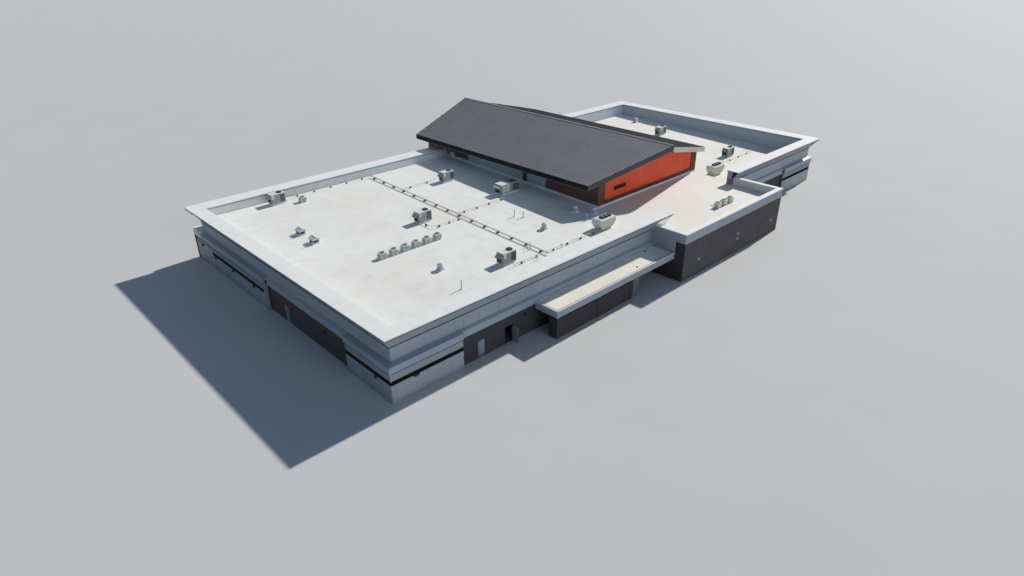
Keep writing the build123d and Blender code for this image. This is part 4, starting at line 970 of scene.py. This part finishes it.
b = Build("downspouts", TRIM, "light_siding")
for to, at in ((left.inward(band_in), 28.1), (wing.inward(band_in), 91.15)):
    wall = to.inward(masonry_in - band_in)
    b.tile(at - 0.08, at + 0.08, 0.2, band_low - 0.05, 0.12, 0.01, wall)
    b.tile(at - 0.17, at + 0.17, 4.05, 4.45, 0.16, 0.03, to)
    for z in (0.8, 1.8, 2.8):
        b.tile(at - 0.1, at + 0.1, z, z + 0.06, 0.13, 0.004, wall)

# Wall lamps

block_lamps = Build("block_wall_lamps", LAMP_BODY, "white_coping")
lamps = Build("wall_lamps", TRIM, "black_plastic")
lenses = Build("wall_lamp_lenses", LENS, "glass")


def wall_lamp(build, to, at, z, half=0.17):
    a, c = at - half, at + half
    build.prism([(a, z - 0.14), (c, z - 0.14), (c, z + 0.1), (c - 0.05, z + 0.16), (a + 0.05, z + 0.16),
        (a, z + 0.1)], 0.0, 0.2, to)
    build.tile(a - 0.03, c + 0.03, z - 0.18, z + 0.2, 0.02, 0.01, to)
    lenses.box(a + 0.03, c - 0.03, 0.04, 0.18, z - 0.165, z - 0.138, to)


for x, z in ((49.5, 2.46), (60.2, 3.2), (60.2, 2.4), (70.85, 2.44)):
    wall_lamp(block_lamps, block_front, x, z)
for y, z in ((2.8, 2.22), (32.0, 2.22), (38.5, 2.22), (44.6, 2.22), (49.0, 2.9)):
    wall_lamp(lamps, left, y, z)
for y in (14.0, 22.0):
    wall_lamp(lamps, left_masonry, y, 2.6)
wall_lamp(lamps, service, 3.2, 2.36, 0.34)
wall_lamp(lamps, service_masonry, 19.9, 2.9)
for to, y in ((right, 8.0), (right_masonry, 20.0), (right_masonry, 32.0), (right, 44.0)):
    wall_lamp(lamps, to, y, 2.9)

# Rooftop air handlers


def fan_guard(dark, bars, x, y, z, radius):
    """A round fan opening: a dark disc for its throat, painted shade inside the opening, with hub, blades
    and wire rings over it.
    """
    dark.lathe([(radius - 0.02, -0.01), (radius - 0.02, 0.012), (0.01, 0.014)], x, y, z, 20)
    bars.lathe([(0.1, 0.0), (0.1, 0.035), (0.03, 0.05), (0.01, 0.051)], x, y, z, 12)
    for share in (1.0, 0.62):
        bars.tube([(x + share * radius * math.cos(t), y + share * radius * math.sin(t), z + 0.035)
            for t in steps(0, 2 * math.pi, math.pi / 10)], 0.012, 4)
    for c, s in around(8):
        ends = ((0.08, 0.04), (radius, 0.035))
        bars.tube([(x + r * c, y + r * s, z + up) for r, up in ends], 0.01, 4)


def slats(build, to, low, high, base, head, pitch=0.075):
    """Louvre slats over a backing sheet of the same surface; where that surface is the dark grille, the
    sheet is painted shade of the opening behind.
    """
    build.box(low, high, 0.0, 0.008, base, head, to)
    for z in steps(base + 0.04, head - 0.04, pitch):
        build.box(low + 0.01, high - 0.01, 0.006, 0.03, z - 0.012, z + 0.012, to)


skin = Build("unit_panels", UNIT, "unit_metal")
dark = Build("unit_grilles", GRILLE_AND_SHADE, "black_plastic")
coils = Build("unit_coils", COIL, "unit_metal")
bars = Build("unit_fittings", STEEL, "steel")
curbs = Build("unit_curb_flashing", FLASHING, "roof_membrane")
tops = Build("unit_top_panels", UNIT_TOP, "unit_metal")
hood_out = 0.45
unit_high = 1.45
big_unit = 3.0  # longer units have more panels and a coil on top
for (x0, y0, _), (x1, y1, z_fan) in solids("rooftop_units"):
    x0 += hood_out
    z1 = z_fan - 0.12
    z0 = z1 - unit_high
    long, deep = x1 - x0, y1 - y0
    base = roof_under(x1).top(y0)
    (front, _, _), (back, _, _), (near_end, _, _), (far_end, _, _) = sides(x0, y0, x1, y1)
    hood = near_end.inward(-hood_out)
    for to in (front, back):
        a0, a1 = x0 + 0.04 * long, x0 + 0.22 * long
        tops.tile(a0, a1, z0 + 0.55 * unit_high, z1 - 0.1, 0.026, 0.006, to)
        skin.tile(a0, a1, z0 + 0.1, z0 + 0.53 * unit_high, 0.022, 0.006, to)
        for k in (1, 2):
            a = x0 + (0.05 + 0.19 * k) * long
            middle = (z0 + z1) / 2
            skin.tile(a, a + 0.17 * long, z0 + 0.1, z1 - 0.08, 0.022, 0.006, to)
            bars.tile(a + 0.13 * long, a + 0.15 * long, middle - 0.1, middle + 0.1, 0.045, 0.005, to)
        slats(coils, to, x0 + 0.62 * long, x1 - 0.1, z0 + 0.16, z1 - 0.1)
        if long > big_unit:
            tops.tile(x0 + 0.25 * long, x0 + 0.45 * long, z0 + 0.1, z1 - 0.08, 0.034, 0.006, to)
            tops.tile(a0, a1, z0 + 0.1, z0 + 0.54 * unit_high, 0.034, 0.006, to)
    slats(coils, far_end, y0 + 0.1, y1 - 0.1, z0 + 0.16, z1 - 0.1)
    # A dark sheet behind the intake louvres: painted shade of the opening.
    dark.box(y0 + 0.3 * deep, y0 + 0.92 * deep, -sunk, 0.012, z0 + 0.1, z0 + 0.46 * unit_high, near_end)
    slats(dark, near_end, y0 + 0.34 * deep, y0 + 0.88 * deep, z0 + 0.14, z0 + 0.44 * unit_high)
    skin.tile(y0 + 0.05, y0 + 0.26 * deep, z0 + 0.1, z1 - 0.08, 0.022, 0.006, near_end)
    slats(dark, hood, y0 + 0.32 * deep, y0 + 0.88 * deep,
        z0 + 0.555 * unit_high, z0 + 0.615 * unit_high, 0.04)
    tops.box(x0 + 0.01, x1 - 0.01, y0 - 0.03, y1 + 0.03, z1 - 0.05, z1 + 0.012)
    bars.box(x0 - 0.01, x1 + 0.01, y0 - 0.02, y1 + 0.02, z0 - 0.01, z0 + 0.07)
    for k in (0.14, 0.33):
        tops.box(x0 + k * long, x0 + (k + 0.16) * long, y0 + 0.12, y1 - 0.12, z1 + 0.005, z1 + 0.02)
    if long > big_unit:
        tops.tile(y0 + 0.05, y1 - 0.05, z0 + 0.64 * unit_high, z0 + 0.9 * unit_high, 0.01, 0.004, hood)
        coils.box(x0 + 0.5 * long, x1 - 0.05, y0 + 0.05, y1 - 0.05, z1 + 0.005, z1 + 0.022)
    fan = (x0 + 0.72 * long, (y0 + y1) / 2)
    dark.lathe([(0.432, 0.0), (0.432, 0.115), (0.4, 0.125), (0.38, 0.121)], *fan, z1, 24)
    fan_guard(dark, dark, *fan, z_fan, 0.42)
    curbs.box(x0 + 0.05, x1 - 0.05, y0 + 0.05, y1 - 0.05, base - 0.03, z0 + 0.005)
    bars.tube([(x1 + 0.1, y0 + 0.3, z0 + 0.5), (x1 + 0.1, y0 + 0.3, base + 0.1),
        (x1 + 0.45, y0 + 0.3, base + 0.1)], 0.03, 6)
    bars.tile(y0 + 0.55, y0 + 0.85, z0 + 0.35, z0 + 0.8, 0.14, 0.01, far_end)

# Condensers

dark = Build("condenser_grilles", GRILLE_AND_SHADE, "black_plastic")
coils = Build("condenser_coils", LIGHT_COIL, "unit_metal")
bars = Build("condenser_fan_guards", STEEL, "steel")
skin = Build("condenser_lids", UNIT_TOP, "unit_cream")
pipes = Build("condenser_pipes", WHITE_TRIM, "pipe_metal")
fan_rise = 0.06
cond_high = 0.65
for (x0, y0, _), (x1, y1, z_fan) in solids("condensers"):
    z1 = z_fan - fan_rise
    z0 = z1 - cond_high
    for to, a, c in sides(x0, y0, x1, y1):
        if y1 > 0.5 or (to.sign > 0 and to.axis == "x"):
            slats(coils if y1 > 0.5 else dark, to, a + 0.07, c - 0.07, z0 + 0.07, z1 - 0.09, 0.06)
        else:
            skin.tile(a + 0.03, c - 0.03, z0 + 0.04, z1 - 0.08, 0.02, 0.008, to)
    skin.box(x0 - 0.02, x1 + 0.02, y0 - 0.02, y1 + 0.02, z1 - 0.06, z1 + 0.01)
    x = (x0 + x1) / 2
    fan_guard(dark, bars, x, (y0 + y1) / 2, z_fan, 0.34)
    for x, bend, radius in ((x + 0.2, ((0, 0.3), (0.35, 0.3), (0.45, -0.05), (0.9, -0.08)), 0.035),
            (x - 0.1, ((0, 0.2), (0.25, 0.2), (0.3, -0.08), (0.9, -0.1)), 0.025)):
        pipes.tube([(x, y1 + y, z0 + z) for y, z in bend], radius, 6)

# Kitchen units

dark = Build("kitchen_unit_fans", GRILLE_AND_SHADE, "black_plastic")
bars = Build("kitchen_unit_guards", STEEL, "steel")
skin = Build("kitchen_unit_panels", UNIT_CREAM, "unit_cream")
tops = Build("kitchen_unit_lids", UNIT_TOP, "unit_cream")
kitchen_high = 1.35
kitchen_fan = 0.16
rim = kitchen_fan + 0.12
for (x0, y0, _), (x1, y1, z_fan) in solids("kitchen_units"):
    z1 = z_fan - kitchen_fan
    z0 = z1 - kitchen_high
    waist = z0 + 0.55 * kitchen_high
    for to, a, c in sides(x0, y0, x1, y1):
        if to.axis == "y":
            skin.boards(to, a + 0.06, c - 0.06, 0.66, 0.012, waist + 0.02, z1 - 0.1, 0.02, 0.006)
            skin.tile(a + 0.8, c - 0.8, z0 + 0.2, waist - 0.14, 0.015, 0.006, to)
        else:
            skin.tile(a + 0.06, c - 0.06, waist + 0.02, z1 - 0.1, 0.02, 0.006, to)
    tops.box(x0 - 0.03, x1 + 0.03, y0 - 0.03, y1 + 0.03, z1 - 0.07, z1 + 0.012)
    tops.box(x0 + 0.12, x0 + 0.72, y0 + 0.15, y1 - 0.15, z1, z1 + 0.1)
    for k in range(3):
        fan = (x0 + 1.15 + 0.8 * k, (y0 + y1) / 2)
        dark.lathe([(0.4, 0.0), (0.4, rim), (0.36, rim + 0.03), (0.32, rim)], *fan, z1, 20)
        fan_guard(dark, bars, *fan, z1 + rim, 0.34)

# Exhaust fans, boxed or round

dark = Build("fan_louvres", GRILLE_AND_SHADE, "black_plastic")
skin = Build("fan_hood_rims", FAN_METAL, "fan_metal")
curbs = Build("fan_curb_flashing", FLASHING, "roof_membrane")
pipes = Build("fan_pipe_loops", PIPE, "pipe_metal")
boxed_fan = 1.1  # fans deeper than this have a boxed housing
for (x0, y0, _), (x1, y1, z1) in solids("exhaust_fans"):
    x, y = (x0 + x1) / 2, (y0 + y1) / 2
    z = roof_under(x).top(y0)
    if y1 - y0 > boxed_fan:
        for to, a, c in sides(x0 + 0.1, y0 + 0.1, x1 - 0.1, y1 - 0.1):
            slats(dark, to, a + 0.08, c - 0.08, z + 0.22, z + 0.5, 0.06)
        skin.box(x0 - 0.01, x1 + 0.01, y0 - 0.01, y1 + 0.01, z + 0.56, z + 0.6)
        skin.box(x - 0.04, x + 0.04, y0 - 0.01, y1 + 0.01, z1 - 0.03, z1 + 0.02)
        curbs.box(x0, x1, y0, y1, z - 0.03, z + 0.14)
        pipes.tube([(x0 - 0.05, y, z + 0.35), (x0 - 0.8, y, z + 0.35), (x0 - 1.0, y, z + 0.02)], 0.035, 6)
        loop = ((0.6, 0.02), (0.6, 0.55), (1.3, 0.55), (1.3, 0.02))
        pipes.tube([(x0 - out, y - 0.5, z + up) for out, up in loop], 0.03, 6)
    else:
        curbs.box(x - 0.42, x + 0.42, y - 0.42, y + 0.42, z - 0.03, z + 0.16)
        for rim in ([(0.4, 0.35), (0.42, 0.37), (0.36, 0.4), (0.3, 0.42)],
                [(0.46, 0.66), (0.5, 0.69), (0.5, 0.72), (0.44, 0.74)],
                [(0.3, 0.9), (0.26, 0.97), (0.12, 1.0), (0.02, 1.005)]):
            skin.lathe(rim, x, y, z, 20)
        for c, s in around(8):
            dark.tube([(x + r * c, y + r * s, z + up) for r, up in ((0.31, 0.4), (0.45, 0.7))], 0.012, 4)

# Pipe boots, supports, clamps and turns

boots = Build("vent_boots", FLASHING, "roof_membrane")
for x, y in ((14.75, 6.1), (35.3, 18.3), (36.1, 17.2), (42.3, 10.0), (84.6, 43.5)):
    boots.lathe([(0.22, -0.01), (0.22, 0.012), (0.12, 0.05), (0.09, 0.2), (0.075, 0.21)],
        x, y, roof_under(x).top(y), 14)
b = Build("branch_supports", SUPPORT, "black_plastic")
for x, y in ((24.6, 22.9), (23.4, 24.4)):
    b.box(x - 0.1, x + 0.1, y - 0.15, y + 0.15, -0.01, 0.25, main_roof)
b = Build("pipe_clamps", PIPE, "black_plastic")
for (x0, y0, _), (x1, y1, z1) in solids("pipe_supports"):
    y = (y0 + y1) / 2
    b.box(x0 + 0.04, x1 - 0.04, y - 0.015, y + 0.015, z1 - 0.01, z1 + 0.1)

b = Build("gas_pipe_turns", PIPE, "pipe_metal")
pipe_up = 0.3
for spots, bend, radius in (
        (((28.3, 8.4), (28.9, 9.1)),
        ((0, -0.02), (0, 0.62), (0.12, 0.72), (0.42, 0.72), (0.54, 0.62), (0.54, -0.02)), 0.045),
        (((13.9, 48.0), (23.5, 6.2)), ((0.12, pipe_up), (0, pipe_up), (-0.06, 0.36), (-0.06, 0.75)), 0.042),
        (((36.5, 39.0), (39.8, 24.6), (40.62, 6.1)),
        ((-0.15, pipe_up), (0, pipe_up), (0.04, 0.36), (0.04, 0.62)), 0.042),
        (((27.2, 5.5), (32.55, 6.05)),
        ((0, -0.02), (0, 0.42), (-0.08, 0.52), (-0.26, 0.5), (-0.3, 0.36)), 0.05)):
    for x, y in spots:
        b.tube([(x + dx, y, main_roof.top(y) + up) for dx, up in bend], radius, 8)
y = 22.9
z = main_roof.top(y) + pipe_up
b.tube([(25.7, y, z), (23.5, y, z), (23.4, y + 0.1, z), (23.4, 25.3, z + 0.05), (23.4, 25.45, z + 0.15),
    (23.4, 25.5, z + 0.4)], 0.042, 8)
x = x_right - 7.35
z = wing_roof.top(12.2) + pipe_up
b.tube([(x, 12.2, z), (x + 0.6, 12.2, z), (x + 0.6, 13.6, z), (x - 0.6, 13.6, z)], 0.045, 8)

# Door frames, and the fittings and panels of the leaves

b = Build("door_frames", TRIM, "door_metal")
for to, low, high in (
        (service_masonry, 12.2, 13.3), (service_masonry, 16.5, 17.7), (left_masonry, 23.15, 24.25)):
    for a in (low, high - 0.035):
        b.box(a, a + 0.035, -0.28, -0.14, 0.15, door_head, to)
    b.box(low, high, -0.28, -0.14, door_head - 0.035, door_head, to)
    b.box(low - 0.06, high + 0.06, -0.002, 0.006, door_head, door_head + 0.07, to)
    b.box(low, high, -0.29, -0.002, 0.15, 0.165, to)

hinge_in = masonry_in - 0.045
for name, to, width in (("left_door", Leaf(hinge_in, 24.25, -90, 1), 1.1),
        ("service_door", Leaf(12.2, hinge_in, 0, 1), 1.1),
        ("yard_door", Leaf(17.7, hinge_in, 88, -1), 1.2)):
    b = Build(name + "_fittings", STEEL, "steel", name)
    b.tile(0.12, width - 0.12, 0.26, 0.52, 0.006, 0.002, to)
    b.tile(width - 0.2, width - 0.12, 1.1, 1.36, 0.012, 0.003, to)
    handle = ((0.16, 0.01), (0.16, 0.055), (0.3, 0.055))
    b.tube([(width - back, out, 1.24) for back, out in handle], 0.012, 8, to)
    b.tile(0.2, 0.52, 2.14, 2.2, 0.05, 0.004, to)
    b = Build(name + "_panels", DOOR, "door_metal", name)
    b.tile(0.14, width - 0.14, 0.62, 1.02, 0.005, 0.003, to)
    b.tile(0.14, width - 0.14, 1.42, 2.06, 0.005, 0.003, to)

b = Build("yard_gate_ribs", GATE, "door_metal")
low = span("yard_gate_panel")[0][0]
gate_face = yard_front.inward(0.05)
b.ribs(gate_face, low + 0.06, low + 1.14, 0.12, 0.03, 0.15, 2.6, 0.025, 0.01)
for z in (0.12, 1.35, 2.58):
    b.tile(low + 0.02, low + 1.18, z, z + 0.08, 0.03, 0.005, gate_face)

# Storefront mullions, bracket plates and soffit of the customer front

b = Build("storefront_mullions", TRIM, "steel")
for (x0, _, _), (x1, y1, _) in solids("front_glass"):
    to = Wall("y", y1, 1)
    for a in steps(x0 + 0.6, x1 - 0.6, 1.5):
        b.box(a - 0.03, a + 0.03, -sunk, 0.09, 0.6, 3.1, to)
    for z in (0.63, 2.3, 3.07):
        b.box(x0, x1, -sunk, 0.07, z - 0.03, z + 0.03, to)
(x0, _, _), (x1, y1, _) = span("gable_front_glass")
to = Wall("y", y1, 1)
for a in steps(x0 + 0.05, x1 - 0.05, 2.0):
    b.box(a - 0.05, a + 0.05, -sunk, 0.12, 0.16, lower_head(a - 0.06, a + 0.06, 0.05), to)
for z in (2.6, 4.6, 6.6, 8.6, 10.2):
    b.box(x0, x1, -sunk, 0.1, z - 0.04, z + 0.04, to)
for a in (58.6, 59.6, 60.6, 61.6, 62.6):
    b.box(a - 0.04, a + 0.04, -sunk, 0.14, 0.16, 2.6, to)
for a in (59.5, 59.7, 61.5, 61.7):
    b.tube([(a, 0.16, 0.9), (a, 0.2, 0.95), (a, 0.2, 1.45), (a, 0.16, 1.5)], 0.02, 6, to)

b = Build("bracket_plates", STEEL, "steel")
for (x0, y0, z0), (x1, _, _) in solids("front_brackets"):
    x = (x0 + x1) / 2
    b.box(x - 0.28, x + 0.28, y0 - 0.05, y0 + 0.35, z0 - 0.002, z0 + 0.03)
    for dx in (-0.2, 0.2):
        for dy in (0.02, 0.26):
            b.lathe([(0.025, 0.0), (0.025, 0.05), (0.015, 0.055)], x + dx, y0 + dy, z0, 6)

b = Build("front_soffit_panels", COPING, "white_coping")
for low, high in ((0.6, gable_left - 0.1), (gable_right + 0.1, x_right - 0.6)):
    for near, far in bays(low, high, 0.6):
        b.box(near + 0.006, far - 0.006, y_field_front + 0.05, y_field_front + 2.35, 7.89, 7.902)

for build in Build.made:
    build.show()

# Stage: floor, background, lights and the camera

reach = 900.0
floor_mesh = bpy.data.meshes.new("floor")
floor_corners = ((-reach, -reach), (reach, -reach), (reach, reach), (-reach, reach))
floor_mesh.from_pydata([model(x, y, 0) for x, y in floor_corners], [], [(0, 1, 2, 3)])
floor_object = bpy.data.objects.new("floor", floor_mesh)
bpy.context.scene.collection.objects.link(floor_object)
floor_surface = Surface("pale_floor", 0xC8C9C9, 0.85, specular=0.2)
floor_surface.stain(0xC4C5C6, 0.6, 12.0, 3, 0.3, 0.7)
floor_mesh.materials.append(floor_surface.done())

world = bpy.data.worlds.new("pale_room")
bpy.context.scene.world = world
world.use_nodes = True
nodes = world.node_tree.nodes
room = nodes["Background"]
room.inputs["Color"].default_value = (0.35, 0.61, 1.0, 1.0)
room.inputs["Strength"].default_value = 0.21
backdrop = nodes.new("ShaderNodeBackground")
backdrop.inputs["Color"].default_value = linear(0xE2E4E6)
rays = nodes.new("ShaderNodeLightPath")
seen, seen_all = (nodes.new("ShaderNodeMath") for _ in range(2))
seen.operation = seen_all.operation = "MAXIMUM"
choice = nodes.new("ShaderNodeMixShader")
for source, target in ((rays.outputs["Is Camera Ray"], seen.inputs[0]),
        (rays.outputs["Is Glossy Ray"], seen.inputs[1]),
        (seen.outputs[0], seen_all.inputs[0]),
        (rays.outputs["Is Transmission Ray"], seen_all.inputs[1]),
        (seen_all.outputs[0], choice.inputs[0]),
        (room.outputs[0], choice.inputs[1]),
        (backdrop.outputs[0], choice.inputs[2]),
        (choice.outputs[0], nodes["World Output"].inputs["Surface"])):
    world.node_tree.links.new(source, target)


def lamp(name, strength, azimuth, elevation, softness, colour):
    light = bpy.data.lights.new(name, "SUN")
    light.energy = strength
    light.angle = math.radians(softness)
    light.color = colour
    shown = bpy.data.objects.new(name, light)
    a, e = math.radians(azimuth), math.radians(elevation)
    towards = Vector((math.cos(a) * math.cos(e), math.sin(a) * math.cos(e), math.sin(e)))
    shown.rotation_mode = "QUATERNION"
    shown.rotation_quaternion = towards.to_track_quat("Z", "Y")
    bpy.context.scene.collection.objects.link(shown)


lamp("key_light", 4.05, 3.5, 35.0, 1.5, (1.0, 0.95, 0.88))
lamp("fill_light", 0.82, 273.0, 8.0, 40.0, (0.9, 0.95, 1.0))

camera_place = model(-29.81, -49.55, 43.16)
yaw, pitch, roll = (math.radians(v) for v in (43.57, 27.52, -0.38))
camera_data = bpy.data.cameras.new("camera")
camera_data.sensor_width = 36.0
camera_data.lens = 23.44
camera_data.clip_end = 1000.0
camera = bpy.data.objects.new("camera", camera_data)
bpy.context.scene.collection.objects.link(camera)
ahead = Vector((math.sin(yaw) * math.cos(pitch), math.cos(yaw) * math.cos(pitch), -math.sin(pitch)))
level_right = Vector((math.cos(yaw), -math.sin(yaw), 0))
level_up = level_right.cross(ahead)
turned = camera.matrix_world.copy()
for column, axis in enumerate((math.cos(roll) * level_right + math.sin(roll) * level_up,
        math.cos(roll) * level_up - math.sin(roll) * level_right, -ahead, camera_place)):
    for row in range(3):
        turned[row][column] = axis[row]
camera.matrix_world = turned
bpy.context.scene.camera = camera
bpy.context.scene.view_settings.view_transform = "Standard"
